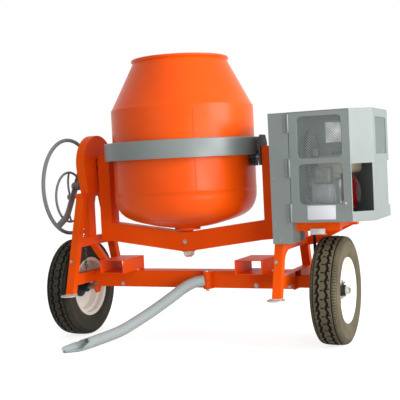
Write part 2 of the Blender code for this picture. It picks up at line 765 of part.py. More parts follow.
def make_foot(name, x, side):
    """A foot disc welded under a leg by a cap that closes the leg's tube."""
    outer = side * LEG_FOOT_HALF
    inner = side * (LEG_FOOT_HALF - LEG_DEPTH)
    top = LEG_BOTTOM - SEAT
    foot = box(name, (x - LEG_WIDTH / 2, min(outer, inner), top - FOOT_CAP - 0.001),
               (x + LEG_WIDTH / 2, max(outer, inner), top))
    disc_top = top - FOOT_CAP
    disc_low = disc_top - FOOT_PLATE
    profile = [(0, disc_top), (FOOT_RADIUS - 0.002, disc_top), (FOOT_RADIUS, disc_top - 0.002),
               (FOOT_RADIUS, disc_low + 0.002), (FOOT_RADIUS - 0.002, disc_low), (0, disc_low)]
    disc = turned("disc", profile, "Z", (x, outer + side * FOOT_FORWARD, 0), 20, closed=False)
    return smooth(paint(join(foot, disc), "plated_steel"))


# ================================================================ drawbar
def drawbar_route():
    """Centre line of the bent tow tube: distance out from the hitch and height above the ground."""
    start = (HITCH_RADIUS - 0.001, BEAM_BOTTOM + BEAM_HEIGHT / 2)
    bends = [(0.060, 0.335), (0.100, 0.322), (0.140, 0.300), (0.180, 0.272), (0.300, 0.195),
             (0.420, 0.128), (0.470, 0.102), (0.520, 0.083), (0.600, 0.060), (0.670, 0.041),
             (0.705, 0.033), (0.740, DRAWBAR_RADIUS)]
    return [start] + bends


def drawbar_point(distance, height):
    heading = math.radians(DRAWBAR_HEADING)
    return (HITCH_X - distance * math.sin(heading), HITCH_Y - distance * math.cos(heading), height)


def make_drawbar():
    """The tow tube: bent, hollow, and cut on a slope at its tip."""
    route = drawbar_route()
    tip = route[-1][0] + DRAWBAR_SCARF
    outer = [drawbar_point(s, z) for s, z in route] + [drawbar_point(tip, DRAWBAR_RADIUS)]
    body = tube("drawbar", outer, DRAWBAR_RADIUS, 3)
    inner = [drawbar_point(s, z) for s, z in route[5:]] + [drawbar_point(tip + 0.02, DRAWBAR_RADIUS)]
    body = cut(body, tube("drawbar_bore", inner, DRAWBAR_RADIUS - DRAWBAR_WALL, 2))
    knife = box("knife", (-0.5, -0.1, 0), (0.5, 0.1, 0.2))
    slope = math.atan2(2 * DRAWBAR_RADIUS - 0.012, DRAWBAR_SCARF - 0.006)
    heading = math.radians(DRAWBAR_HEADING)
    place = Matrix.Translation(drawbar_point(tip, 0.010))
    knife.matrix_world = place @ Matrix.Rotation(math.radians(90) - heading, 4, "Z") @ Matrix.Rotation(-slope, 4, "Y")
    body = cut(body, baked(knife))
    bush = rod("bush", HITCH_RADIUS, "Z", (HITCH_X, HITCH_Y, 0),
               BEAM_BOTTOM + PLATE + SEAT, BEAM_TOP - PLATE - SEAT, 20)
    hole = rod("bush_bore", bore(HITCH_PIN_RADIUS, 16), "Z", (HITCH_X, HITCH_Y, 0),
               BEAM_BOTTOM, BEAM_TOP, 16)
    body = cut(join(body, bush), hole)
    return smooth(paint(body, "light_grey_paint"))


# ================================================================ drum
def drum_outline():
    """The drum's outer side from its mouth down to the middle of its dished bottom."""
    return [
        (MOUTH_RADIUS + LIP_RADIUS, MOUTH_Z - LIP_RADIUS),
        (MOUTH_RADIUS + 0.005, MOUTH_Z - 2.4 * LIP_RADIUS),
        (DRUM_RADIUS - 0.004, CONE_Z + 0.004),
        (DRUM_RADIUS, CONE_Z - 0.004),
        (DRUM_RADIUS, SEAM_Z - 0.030),
        (DRUM_RADIUS - 0.006, SEAM_Z - 0.064),
        (DRUM_RADIUS - 0.021, SEAM_Z - 0.099),
        (DRUM_RADIUS - 0.048, SEAM_Z - 0.130),
        (DRUM_RADIUS - 0.098, SEAM_Z - 0.156),
        (DRUM_RADIUS - 0.180, SEAM_Z - 0.183),
        (DRUM_RADIUS - 0.270, SEAM_Z - 0.203),
        (BOSS_RADIUS, DRUM_BOTTOM_Z),
    ]


def make_drum():
    outer = drum_outline()
    wall = DRUM_WALL
    inner = [(r - wall, z) for r, z in reversed(outer[2:5])]
    dish = [(r - wall * 0.8, z + wall) for r, z in reversed(outer[6:-1:2])]
    profile = [(0, DRUM_BOTTOM_Z + wall)] + dish + inner
    profile += [(MOUTH_RADIUS - 0.001, MOUTH_Z - 2.4 * LIP_RADIUS), (MOUTH_RADIUS, MOUTH_Z - 0.003)]
    profile += [(MOUTH_RADIUS + 0.004, MOUTH_Z)]
    profile = profile + outer + [(0, DRUM_BOTTOM_Z)]
    drum = turned("drum_shell", profile, "Z", (0, 0, 0), DRUM_STEPS, closed=False)
    return smooth(paint(drum, "orange_paint"), 28)


def make_drum_shaft():
    """The boss plate under the drum and the shaft that turns in the yoke."""
    top = DRUM_BOTTOM_Z - SEAT
    low = V_CENTRE_BOTTOM - 0.034
    neck = V_CENTRE_BOTTOM + V_HEIGHT + 0.0035
    profile = [(0, top), (BOSS_RADIUS, top), (BOSS_RADIUS, top - BOSS_PLATE), (0.032, top - BOSS_PLATE),
               (0.032, neck), (DRUM_SHAFT_RADIUS, neck), (DRUM_SHAFT_RADIUS, low), (0, low)]
    shaft = turned("drum_shaft", profile, "Z", (0, 0, 0), 20, closed=False)
    return smooth(paint(shaft, "orange_paint"))


def make_drum_nut():
    """The nut and washer that hold the drum's shaft in the yoke."""
    top = V_CENTRE_BOTTOM - 0.0015
    hole = circle((0, 0), (DRUM_SHAFT_RADIUS + SEAT) / math.cos(math.pi / 20), 20)
    washer = plate("drum_nut", [circle((0, 0), 0.037, 20), hole], "Z", top - 0.005, top)
    nut = plate("nut", [circle((0, 0), 0.033, 6), hole], "Z", top - 0.025, top - 0.0045)
    return paint(join(washer, nut), "plated_steel")


def make_blade(number, facet):
    """A curved lifting blade, cut to the drum's inner wall and turned by whole facets of it."""
    wall_radius = DRUM_RADIUS - DRUM_WALL
    inner = wall_radius - BLADE_REACH
    steps = 8
    height = BLADE_HIGH - BLADE_LOW
    lower = []
    upper = []
    for i in range(steps + 1):
        share = i / steps
        lean = 0.10 * share
        z = BLADE_LOW + height * share
        reach = BLADE_REACH * (0.45 + 0.55 * math.sin(math.pi * (0.15 + 0.7 * share)))
        y = lean * height * 2
        lower.append((wall_radius + 0.01, y, z))
        upper.append((wall_radius - reach, y + 0.04, z))
    mesh = bpy.data.meshes.new("mixing_blade_%d" % number)
    faces = [(i, i + 1, steps + 2 + i, steps + 1 + i) for i in range(steps)]
    mesh.from_pydata(lower + upper, [], faces)
    blade = object_from("mixing_blade_%d" % number, mesh)
    solid = blade.modifiers.new("thickness", "SOLIDIFY")
    solid.thickness = BLADE_THICKNESS
    solid.offset = 0
    blade = baked(blade)
    limit = rod("limit", wall_radius - SEAT, "Z", (0, 0, 0), BLADE_LOW - 0.1, BLADE_HIGH + 0.1, DRUM_STEPS)
    blade = combine(blade, limit, "INTERSECT")
    blade.data.transform(Matrix.Rotation(2 * math.pi * facet / DRUM_STEPS, 4, "Z"))
    return paint(blade, "cast_iron")


# ================================================================ yoke
def yoke_side(arm, inset):
    """Half the cradle's front view, with its arm's inner side at a distance from the middle."""
    inner = arm + inset
    outer = YOKE_HALF - inset
    top = ARM_TOP - inset
    low_end = V_END_BOTTOM + inset
    return [(0.020, V_CENTRE_BOTTOM + inset), (arm - 0.015, low_end), (outer, low_end + 0.006), (outer, top),
            (inner, top), (inner, V_END_BOTTOM + V_HEIGHT - inset), (0.020, V_CENTRE_BOTTOM + V_HEIGHT - inset)]


def yoke_outline(inset):
    """Front view of the U-shaped cradle with its V bottom, inset by a wall where asked."""
    return yoke_side(ARM_INNER, inset) + [(-x, z) for x, z in reversed(yoke_side(LEFT_ARM_INNER, inset))]


def make_yoke():
    """The channel cradle that carries the drum between its two trunnions."""
    front = -YOKE_DEPTH / 2
    back = YOKE_DEPTH / 2
    body = plate("yoke", [yoke_outline(0)], "Y", front, back)
    body = cut(body, plate("pocket", [yoke_outline(YOKE_WALL)], "Y", front + YOKE_WALL, back + 0.01))
    housing = rod("housing", 0.036, "Z", (0, 0, 0), V_CENTRE_BOTTOM, V_CENTRE_BOTTOM + V_HEIGHT, 20)
    left_end = GUARD_OUTER_X - SEAT - BEARING_PLATE - BEARING_LENGTH - 0.008
    shaft = rod("shaft", TILT_SHAFT_RADIUS, "X", (0, 0, TILT_Z), left_end, -LEFT_ARM_INNER)
    sleeve_end = STAND_RIGHT_X + LEG_WIDTH / 2 + 0.004
    sleeve = rod("sleeve", SLEEVE_RADIUS, "X", (0, 0, TILT_Z), ARM_INNER, sleeve_end)
    body = join(body, housing, shaft, sleeve)
    through = rod("through", bore(COUNTERSHAFT_RADIUS), "X", (0, 0, TILT_Z), ARM_INNER - 0.01, sleeve_end + 0.01)
    drum_hole = rod("drum_hole", bore(DRUM_SHAFT_RADIUS), "Z", (0, 0, 0),
                    V_CENTRE_BOTTOM - 0.01, V_CENTRE_BOTTOM + V_HEIGHT + 0.01)
    return smooth(paint(cut(body, through, drum_hole), "orange_paint"))


def make_band(name, first, last):
    """Half of the ring gear's guard: a rolled channel with a flange over the gear."""
    inner = BAND_RADIUS - SHEET
    section = [(BAND_RADIUS, BAND_BOTTOM), (BAND_RADIUS, BAND_TOP - 0.005),
               (BAND_RADIUS - 0.004, BAND_TOP), (BAND_RADIUS - BAND_FLANGE, BAND_TOP),
               (BAND_RADIUS - BAND_FLANGE, BAND_TOP - SHEET), (inner - 0.003, BAND_TOP - SHEET),
               (inner, BAND_TOP - SHEET - 0.003), (inner, BAND_BOTTOM)]
    mesh = bpy.data.meshes.new(name)
    count = len(section)
    mesh.from_pydata([(r, 0, h) for r, h in section], [], [tuple(range(count))])
    band = object_from(name, mesh)
    screw = band.modifiers.new("turn", "SCREW")
    screw.angle = math.radians(last - first)
    screw.steps = BAND_STEPS
    screw.render_steps = BAND_STEPS
    screw.merge_threshold = 0.00001
    band.rotation_euler = (0, 0, math.radians(first))
    band = baked(band)
    return closed_ends(band)


def closed_ends(piece):
    """Close any open loop of a swept piece with a face."""
    shape = bmesh.new()
    shape.from_mesh(piece.data)
    inner_faces = [f for f in shape.faces if all(len(e.link_faces) > 2 for e in f.edges)]
    bmesh.ops.delete(shape, geom=inner_faces, context="FACES_ONLY")
    open_edges = [e for e in shape.edges if len(e.link_faces) == 1]
    bmesh.ops.holes_fill(shape, edges=open_edges, sides=0)
    bmesh.ops.recalc_face_normals(shape, faces=shape.faces)
    shape.to_mesh(piece.data)
    shape.free()
    return piece


def make_bands():
    """Front and rear guard halves, with the pads that bolt them to the yoke's arms."""
    made = []
    pad_low = BAND_BOTTOM + 0.008
    pad_high = ARM_TOP - 0.006
    for name, first, last, side in (("front_gear_guard", 181.0, 359.5, -1), ("rear_gear_guard", 0.5, 179.0, 1)):
        band = make_band(name, first, last)
        near = side * 0.012
        far = side * 0.040
        left = box("pad", (-LEFT_ARM_INNER + SEAT, min(near, far), pad_low), (0.003 - BAND_RADIUS, max(near, far), pad_high))
        notch = box("notch", (BAND_RADIUS - 0.010, -SHAFT_NOTCH, BAND_BOTTOM - 0.010),
                    (BAND_RADIUS + 0.010, SHAFT_NOTCH, TILT_Z + SHAFT_NOTCH))
        band = cut(join(band, left), notch)
        made.append(smooth(paint(band, "grey_paint")))
    return made


def make_pinion_bearing():
    """The cast bearing bracket on the right arm that holds the bevel pinion's shaft."""
    inner = ARM_INNER - SEAT
    outline = [(-0.058, 0.955), (0.058, 0.955), (0.058, 1.075), (0.035, 1.118), (-0.035, 1.118), (-0.058, 1.075)]
    hole = circle((0, TILT_Z), bore(COUNTERSHAFT_RADIUS), 20)
    flange = plate("pinion_bearing", [outline, hole], "X", inner - 0.012, inner)
    boss = plate("boss", [circle((0, TILT_Z), 0.033, 20), hole], "X", inner - 0.024, inner - 0.0115)
    return paint(join(flange, boss), "cast_iron")


# ================================================================ gears
def loft(name, sections, closed=True):
    """Skin a closed ring of sections that all have the same number of points."""
    count = len(sections[0])
    verts = [point for section in sections for point in section]
    faces = []
    rings = len(sections)
    last = rings if closed else rings - 1
    for i in range(last):
        a = i * count
        b = ((i + 1) % rings) * count
        for j in range(count):
            k = (j + 1) % count
            faces.append((a + j, a + k, b + k, b + j))
    if not closed:
        faces.append(tuple(range(count)))
        faces.append(tuple(reversed(range((rings - 1) * count, rings * count))))
    mesh = bpy.data.meshes.new(name)
    mesh.from_pydata(verts, [], faces)
    return baked(object_from(name, mesh))


def make_ring_gear():
    """The crown gear round the drum: straight-sided teeth on its lower face."""
    inner = (DRUM_RADIUS + SEAT) / math.cos(math.pi / (4 * RING_TEETH)) + 0.0002
    outer = RING_PITCH_RADIUS + RING_FACE / 2
    pitch_z = TILT_Z + PINION_PITCH_RADIUS
    tip_z = pitch_z - RING_ADDENDUM
    root_z = pitch_z + RING_DEDENDUM
    top_z = root_z + RING_BODY
    pitch_angle = 2 * math.pi / RING_TEETH
    slope = math.tan(PRESSURE_ANGLE) / RING_PITCH_RADIUS
    half = pitch_angle * 0.220
    half_tip = half - RING_ADDENDUM * slope
    half_root = half + RING_DEDENDUM * slope
    sections = []
    for i in range(RING_TEETH):
        centre = (i + 0.5) * pitch_angle
        for offset, z in ((-half_root, root_z), (-half_tip, tip_z), (half_tip, tip_z), (half_root, root_z)):
            angle = centre + offset
            c = math.cos(angle)
            s = math.sin(angle)
            sections.append([(inner * c, inner * s, top_z), (outer * c, outer * s, top_z),
                             (outer * c, outer * s, z), (inner * c, inner * s, z)])
    return paint(loft("ring_gear", sections), "cast_iron")


def involute_outline(teeth, module, addendum, dedendum, thinning, pressure, centre, phase):
    """A spur gear's outline with a few points on each involute flank."""
    pitch = module * teeth / 2
    base = pitch * math.cos(pressure)
    tip = pitch + addendum
    root = pitch - dedendum
    half = math.pi / (2 * teeth) * thinning
    involute_at_pitch = math.tan(pressure) - pressure

    def flank(radius):
        if radius <= base:
            return half + involute_at_pitch
        angle = math.acos(base / radius)
        return half + involute_at_pitch - (math.tan(angle) - angle)

    low = max(base, root) if root < base else root
    radii = [low + (tip - low) * k / FLANK_STEPS for k in range(FLANK_STEPS + 1)]
    outline = []
    for i in range(teeth):
        middle = phase + 2 * math.pi * i / teeth
        points = [(root, -flank(low))] if root < base else []
        points += [(r, -flank(r)) for r in radii]
        points += [(r, -a) for r, a in reversed(points)]
        outline += [(centre[0] + r * math.cos(middle + a), centre[1] + r * math.sin(middle + a))
                    for r, a in points]
    return outline


def make_bevel_pinion():
    """The small bevel gear under the ring, tapered to roll on it."""
    outline = involute_outline(PINION_TEETH, RING_MODULE, RING_ADDENDUM, RING_DEDENDUM, 0.74,
                               PRESSURE_ANGLE, (0, 0), math.pi / 2)
    small = 1 - RING_FACE / 2 / RING_PITCH_RADIUS
    large = 1 + RING_FACE / 2 / RING_PITCH_RADIUS
    inner_x = RING_PITCH_RADIUS - RING_FACE / 2
    outer_x = RING_PITCH_RADIUS + RING_FACE / 2
    sections = [[(inner_x, y * small, TILT_Z + z * small) for y, z in outline],
                [(outer_x, y * large, TILT_Z + z * large) for y, z in outline]]
    gear = loft("bevel_pinion", sections, closed=False)
    hole = rod("hole", (COUNTERSHAFT_RADIUS + SEAT) / math.cos(math.pi / 20), "X", (0, 0, TILT_Z),
               inner_x - 0.01, outer_x + 0.01)
    return paint(cut(gear, hole), "cast_iron")


def make_tilt_gear():
    """The large gear on the yoke's trunnion."""
    outline = involute_outline(TILT_TEETH, TILT_MODULE, 0.85 * TILT_MODULE, 1.05 * TILT_MODULE, 0.90,
                               math.radians(20), (0, TILT_Z), -math.pi / 2)
    hole = circle((0, TILT_Z), (TILT_SHAFT_RADIUS + SEAT) / math.cos(math.pi / 20), 20)
    half = TILT_GEAR_WIDTH / 2
    gear = plate("tilt_gear", [outline, hole], "X", TILT_GEAR_X - half, TILT_GEAR_X + half)
    return paint(gear, "cast_iron")


def make_tilt_pinion():
    """The handwheel's shaft with its pinion."""
    phase = math.pi / 2 + math.pi / TILT_PINION_TEETH
    outline = involute_outline(TILT_PINION_TEETH, TILT_MODULE, 0.85 * TILT_MODULE, 1.05 * TILT_MODULE, 0.90,
                               math.radians(20), (0, HAND_Z), phase)
    half = TILT_GEAR_WIDTH / 2
    gear = plate("tilt_pinion", [outline], "X", TILT_GEAR_X - half, TILT_GEAR_X + half)
    shaft = rod("shaft", TILT_PINION_SHAFT_RADIUS, "X", (0, 0, HAND_Z), HANDWHEEL_HUB_X - 0.0195, TILT_GEAR_X)
    return paint(join(gear, shaft), "plated_steel")


# ================================================================ tilt side
def guard_outline(inset):
    """The guard's side view: round on top, with straight sides down to the stand's top plate."""
    radius = GUARD_RADIUS - inset
    foot = (GUARD_FOOT_HALF - inset, TOP_PLATE_Z + SEAT + inset)
    drop = TILT_Z - foot[1]
    reach = math.hypot(foot[0], drop)
    first = math.atan2(-drop, foot[0]) + math.acos(radius / reach)
    steps = 24
    outline = [(-foot[0], foot[1]), foot]
    for step in range(steps + 1):
        angle = first + (math.pi - 2 * first) * step / steps
        outline.append((radius * math.cos(angle), TILT_Z + radius * math.sin(angle)))
    return outline


def make_tilt_guard():
    """The cover over the tilt gear, open towards the bearing bracket."""
    hole = circle((0, TILT_Z), 0.036, 24)
    face = plate("tilt_gear_guard", [guard_outline(0), hole], "X", GUARD_INNER_X - SHEET, GUARD_INNER_X)
    wall = plate("wall", [guard_outline(0), guard_outline(SHEET)], "X", GUARD_OUTER_X, GUARD_INNER_X - 0.001)
    return smooth(paint(join(face, wall), "orange_paint"))


def make_flange_bearing(name, z, shaft_radius, size):
    """A square flanged bearing on the outer face of the bracket."""
    high = GUARD_OUTER_X - SEAT - BEARING_PLATE - SEAT
    hole = circle((0, z), bore(shaft_radius), 20)
    flange = plate(name, [rounded_outline((-size, z - size), (size, z + size), 0.012, 3), hole], "X",
                   high - 0.010, high)
    boss = plate("boss", [circle((0, z), size * 0.86, 20), hole], "X", high - BEARING_LENGTH, high - 0.009)
    return paint(join(flange, boss), "cast_iron")


def make_right_bearing():
    """The pedestal bearing on the right stand, round the hollow trunnion."""
    low = STAND_RIGHT_X - 0.024
    high = STAND_RIGHT_X + 0.024
    foot = TOP_PLATE_Z + SEAT
    hole = circle((0, TILT_Z), bore(SLEEVE_RADIUS), 20)
    arch = [(0.060 * math.cos(math.radians(a)), TILT_Z + 0.060 * math.sin(math.radians(a)))
            for a in range(0, 181, 20)]
    outline = [(-0.105, foot), (0.105, foot), (0.105, foot + 0.016), (0.060, foot + 0.030)] + arch
    outline += [(-0.060, foot + 0.030), (-0.105, foot + 0.016)]
    return paint(plate("right_bearing", [outline, hole], "X", low, high), "cast_iron")


def bar_point(distance, x, side=0.0):
    """A place on the handwheel's bar, counted up the bar from the shaft and rearwards across it."""
    angle = math.radians(HANDWHEEL_BAR_ANGLE)
    return (x, distance * math.cos(angle) + side * math.sin(angle),
            HAND_Z + distance * math.sin(angle) - side * math.cos(angle))


def make_handwheel():
    """The large tilt handwheel: a tube ring, a dished flat bar and a hub."""
    wheel = ring("tilt_handwheel", HANDWHEEL_RADIUS, HANDWHEEL_TUBE, "X", (HANDWHEEL_X, 0, HAND_Z), 30, 6)
    half = HANDWHEEL_BAR_THICK / 2
    reach = HANDWHEEL_RADIUS - HANDWHEEL_TUBE * 0.5
    bend = HANDWHEEL_RADIUS - 0.076
    side = [(-reach, HANDWHEEL_X), (-bend, HANDWHEEL_HUB_X), (bend, HANDWHEEL_HUB_X), (reach, HANDWHEEL_X)]
    outline = [(s, x - half) for s, x in side] + [(s, x + half) for s, x in reversed(side)]
    bar = plate("bar", [[(x, s) for s, x in outline]], "Y", -HANDWHEEL_BAR_WIDTH / 2, HANDWHEEL_BAR_WIDTH / 2)
    bar.data.transform(Matrix.Rotation(-math.radians(90 - HANDWHEEL_BAR_ANGLE), 4, "X"))
    bar.data.transform(Matrix.Translation((0, 0, HAND_Z)))
    hub = rod("hub", HANDWHEEL_HUB_RADIUS, "X", (0, 0, HAND_Z), HANDWHEEL_HUB_X - 0.018, HANDWHEEL_HUB_X + 0.030)
    wheel = join(wheel, bar, hub)
    hole = rod("hole", (TILT_PINION_SHAFT_RADIUS + SEAT) / math.cos(math.pi / 20), "X", (0, 0, HAND_Z),
               HANDWHEEL_HUB_X - 0.03, HANDWHEEL_HUB_X + 0.04)
    screw_place = bar_point(-LOCK_OFFSET, 0, LOCK_SIDE)
    screw_hole = rod("screw_hole", bore(LOCK_SCREW_RADIUS, 12), "X", screw_place, -0.80, -0.70, 12)
    return smooth(paint(cut(wheel, hole, screw_hole), "grey_paint"))


def make_lock_wheel():
    """The small wheel on the bar, whose screw locks the tilt."""
    place = bar_point(-LOCK_OFFSET, 0, LOCK_SIDE)
    centre = (LOCK_X, place[1], place[2])
    wheel = ring("lock_handwheel", LOCK_RADIUS, LOCK_TUBE, "X", centre, 22, 5)
    screw = rod("screw", LOCK_SCREW_RADIUS, "X", place, LOCK_X - 0.016, -0.705, 12)
    hub = rod("hub", 0.016, "X", place, LOCK_X - 0.012, LOCK_X + 0.014, 16)
    spoke = tube("spoke", [(LOCK_X, place[1], place[2] + 0.010), (LOCK_X - 0.006, place[1] + 0.002, place[2] + 0.060),
                           (LOCK_X, place[1], place[2] + LOCK_RADIUS)], 0.006, 1)
    spoke2 = tube("spoke2", [(LOCK_X, place[1], place[2] - 0.010), (LOCK_X - 0.006, place[1] - 0.002, place[2] - 0.060),
                             (LOCK_X, place[1], place[2] - LOCK_RADIUS)], 0.006, 1)
    return smooth(paint(join(wheel, hub, screw, spoke, spoke2), "grey_paint"))


# ================================================================ belt drive
def pulley_profile(radius, hub_radius, hole, web):
    """Half section of a V pulley: rim with its groove, web and hub."""
    half = PULLEY_WIDTH / 2
    neck = BELT_WIDTH / 2 + 0.001
    rim_inner = radius - GROOVE - 0.010
    profile = [(hole, half), (hub_radius, half), (hub_radius, web), (rim_inner, web), (rim_inner, half),
               (radius, half), (radius, neck), (radius - GROOVE, neck - 0.003)]
    return profile + [(r, -h) for r, h in reversed(profile)]


def make_big_pulley():
    hole = (COUNTERSHAFT_RADIUS + SEAT) / math.cos(math.pi / 28)
    profile = pulley_profile(BIG_PULLEY_RADIUS, 0.034, hole, 0.004)
    pulley = turned("belt_pulley", profile, "X", (PULLEY_X, 0, TILT_Z), 28)
    return smooth(paint(pulley, "cast_iron"))


def make_countershaft():
    low = RING_PITCH_RADIUS - RING_FACE / 2
    high = PULLEY_X + PULLEY_WIDTH / 2 + 0.012
    shaft = rod("countershaft", COUNTERSHAFT_RADIUS, "X", (0, 0, TILT_Z), low, high)
    return smooth(paint(shaft, "plated_steel"))


def make_engine_pulley():
    half = PULLEY_WIDTH / 2
    neck = BELT_WIDTH / 2 + 0.001
    radius = SMALL_PULLEY_RADIUS
    profile = [(0, half), (radius, half), (radius, neck), (radius - GROOVE, neck - 0.003),
               (radius - GROOVE, 0.003 - neck), (radius, -neck), (radius, -half), (0, -half)]
    pulley = turned("engine_pulley", profile, "X", (PULLEY_X, CRANK_Y, CRANK_Z), 20, closed=False)
    stub = rod("stub", CRANK_RADIUS, "X", (0, CRANK_Y, CRANK_Z), PULLEY_X, CRANKCASE_LEFT - SEAT)
    return smooth(paint(join(pulley, stub), "cast_iron"))


def belt_outline(big, small, steps):
    """The outside of a belt round both pulleys: two arcs and the straight runs between them."""
    dy = CRANK_Y
    dz = CRANK_Z - TILT_Z
    distance = math.hypot(dy, dz)
    along = math.atan2(dz, dy)
    open_angle = math.acos((big - small) / distance)
    outline = []
    for i in range(steps + 1):
        angle = along + open_angle + (2 * math.pi - 2 * open_angle) * i / steps
        outline.append((big * math.cos(angle), TILT_Z + big * math.sin(angle)))
    for i in range(steps // 2 + 1):
        angle = along - open_angle + 2 * open_angle * i / (steps // 2)
        outline.append((dy + small * math.cos(angle), CRANK_Z + small * math.sin(angle)))
    return outline


def make_belt():
    big = BIG_PULLEY_RADIUS - GROOVE + 0.0012
    small = SMALL_PULLEY_RADIUS - GROOVE + 0.0012
    half = BELT_WIDTH / 2 - 0.003
    outlines = [belt_outline(big + BELT_THICK, small + BELT_THICK, 22), belt_outline(big, small, 22)]
    return smooth(paint(plate("drive_belt", outlines, "X", PULLEY_X - half, PULLEY_X + half), "belt_rubber"))


# ================================================================ cabinet
def cabinet_outline(inset):
    """Plan of the engine cabinet, with its bevelled front corner."""
    slope = math.hypot(CAB_SIDE_X - CAB_CORNER_X, CAB_CORNER_Y - CAB_FRONT)
    share = inset * (slope - (CAB_SIDE_X - CAB_CORNER_X)) / (CAB_CORNER_Y - CAB_FRONT)
    return [(CAB_INNER_X + inset, CAB_FRONT + inset), (CAB_CORNER_X - share, CAB_FRONT + inset),
            (CAB_SIDE_X - inset, CAB_CORNER_Y + share), (CAB_SIDE_X - inset, CAB_BACK - inset),
            (CAB_INNER_X + inset, CAB_BACK - inset)]


def make_cabinet():
    """The sheet-metal housing: top, floor, back, bevelled corner, outer side and inner wall."""
    body = plate("cabinet_shell", [cabinet_outline(0)], "Z", CAB_BOTTOM, CAB_TOP)
    roof = box("roof", (COLUMN_LEFT, CAB_FRONT, CAB_TOP - SHEET), (CAB_INNER_X + 0.001, CAB_BACK, CAB_TOP))
    body = join(body, roof)
    room = plate("room", [cabinet_outline(SHEET)], "Z", CAB_BOTTOM + SHEET, CAB_TOP - SHEET)
    doorway = box("doorway", (CAB_INNER_X - 0.01, CAB_FRONT - 0.01, CAB_BOTTOM - 0.01),
                  (CAB_CORNER_X - 0.0005, CAB_FRONT + DOOR_FLANGE + 0.004, CAB_TOP - SHEET))
    entry = box("entry", (CAB_INNER_X - 0.01, CAB_FRONT - 0.01, CAB_BOTTOM - 0.01),
                (COLUMN_RIGHT + 0.001, COLUMN_BACK + 0.001, CAB_TOP - SHEET))
    corner = box("corner", (CAB_CORNER_X + 0.003, CAB_FRONT - 0.02, CUTOUT[0]),
                 (CAB_SIDE_X - 0.008, CAB_CORNER_Y + 0.010, CUTOUT[1]))
    vent = box("vent", (CAB_SIDE_X - 0.02, VENT_FRONT, VENT[0]), (CAB_SIDE_X + 0.01, VENT_BACK, VENT[1]))
    notch = box("notch", (CAB_SIDE_X - 0.06, CAB_BACK - NOTCH_DEPTH, NOTCH[0]),
                (CAB_SIDE_X + 0.01, CAB_BACK + 0.01, NOTCH[1]))
    shaft_slot = rod("shaft_slot", 0.060, "X", (0, 0, TILT_Z), CAB_INNER_X - 0.02, CAB_INNER_X + 0.02, 24)
    back_window = plate("back_window", [rounded_outline((0.745, 0.985), (0.985, 1.165), 0.02)], "Y",
                        CAB_BACK - 0.02, CAB_BACK + 0.01)
    body = cut(body, doorway, entry, room, corner, vent, notch, shaft_slot, back_window)
    return paint(body, "grey_paint")


def make_column():
    """The cover of the right stand's upper part: a front sheet with a return on each side."""
    top = CAB_TOP - SHEET - SEAT
    back = CAB_FRONT + COLUMN_RETURN
    front = box("column_cover", (COLUMN_LEFT, CAB_FRONT, COLUMN_BOTTOM), (COLUMN_RIGHT, CAB_FRONT + SHEET, top))
    left = box("left", (COLUMN_LEFT, CAB_FRONT, COLUMN_BOTTOM), (COLUMN_LEFT + SHEET, back, top))
    right = box("right", (COLUMN_RIGHT - SHEET, CAB_FRONT, COLUMN_BOTTOM), (COLUMN_RIGHT, COLUMN_BACK, top))
    stay = box("stay", (STAND_RIGHT_X + LEG_WIDTH / 2 + SEAT, COLUMN_BACK - 0.075, 0.770),
               (COLUMN_RIGHT - SHEET + 0.001, COLUMN_BACK - 0.045, 0.800))
    body = join(front, left, right, stay, *hinges())
    rail = leg_front(BASE_BOTTOM)
    rail_way = box("rail_way", (COLUMN_RIGHT - 0.010, rail - 0.001, COLUMN_BOTTOM - 0.010),
                   (COLUMN_RIGHT + 0.010, rail + BASE_RAIL + 0.001, CAB_BOTTOM + 0.001))
    return paint(cut(body, rail_way), "grey_paint")


def make_door():
    """The hinged front door: a sheet with folded edges and two windows."""
    low_x = COLUMN_RIGHT + DOOR_GAP
    high_x = CAB_CORNER_X - 0.0015
    low_z = CAB_BOTTOM
    high_z = CAB_TOP - SHEET - 0.001
    body = box("cabinet_door", (low_x, CAB_FRONT, low_z), (high_x, CAB_FRONT + DOOR_FLANGE, high_z))
    tray = box("tray", (low_x + SHEET, CAB_FRONT + SHEET, low_z + SHEET),
               (high_x - SHEET, CAB_FRONT + DOOR_FLANGE + 0.01, high_z - SHEET))
    body = cut(body, tray)
    for low, high in (UPPER_WINDOW, LOWER_WINDOW):
        hole = rounded_outline((WINDOW_LEFT, low), (WINDOW_LEFT + WINDOW_WIDTH, high), WINDOW_RADIUS, 4)
        body = cut(body, plate("window", [hole], "Y", CAB_FRONT - 0.01, CAB_FRONT + 0.01))
    return paint(body, "grey_paint")


def diamond_sheet(name, low, high, axis, near, far):
    """Expanded metal drawn coarse: staggered diamond holes in a flat sheet."""
    border = MESH_BAR * 2
    width = high[0] - low[0] - 2 * border
    height = high[1] - low[1] - 2 * border
    columns = max(2, round(width / MESH_PITCH))
    rows = max(2, round(height / (MESH_PITCH * 0.8)))
    step_u = width / columns
    step_v = height / rows
    half_u = step_u / 2 - MESH_BAR * 0.55
    half_v = step_v - MESH_BAR * 0.9
    outlines = [[low, (high[0], low[1]), high, (low[0], high[1])]]
    for row in range(rows - 1):
        shift = 0.5 if row % 2 == 0 else 1.0
        count = columns if row % 2 == 0 else columns - 1
        for column in range(count):
            u = low[0] + border + (column + shift) * step_u
            v = low[1] + border + (row + 1) * step_v
            outlines.append([(u - half_u, v), (u, v - half_v), (u + half_u, v), (u, v + half_v)])
    return plate(name, outlines, axis, near, far)


def make_meshes():
    """The mesh sheets behind the door's windows."""
    rim = 0.010
    near = CAB_FRONT + SHEET + SEAT
    made = []
    for name, (low, high) in (("upper_door_mesh", UPPER_WINDOW), ("lower_door_mesh", LOWER_WINDOW)):
        sheet = diamond_sheet(name, (WINDOW_LEFT - rim, low - rim), (WINDOW_LEFT + WINDOW_WIDTH + rim, high + rim),
                              "Y", near, near + MESH_THICK)
        made.append(paint(sheet, "grey_paint"))
    return made


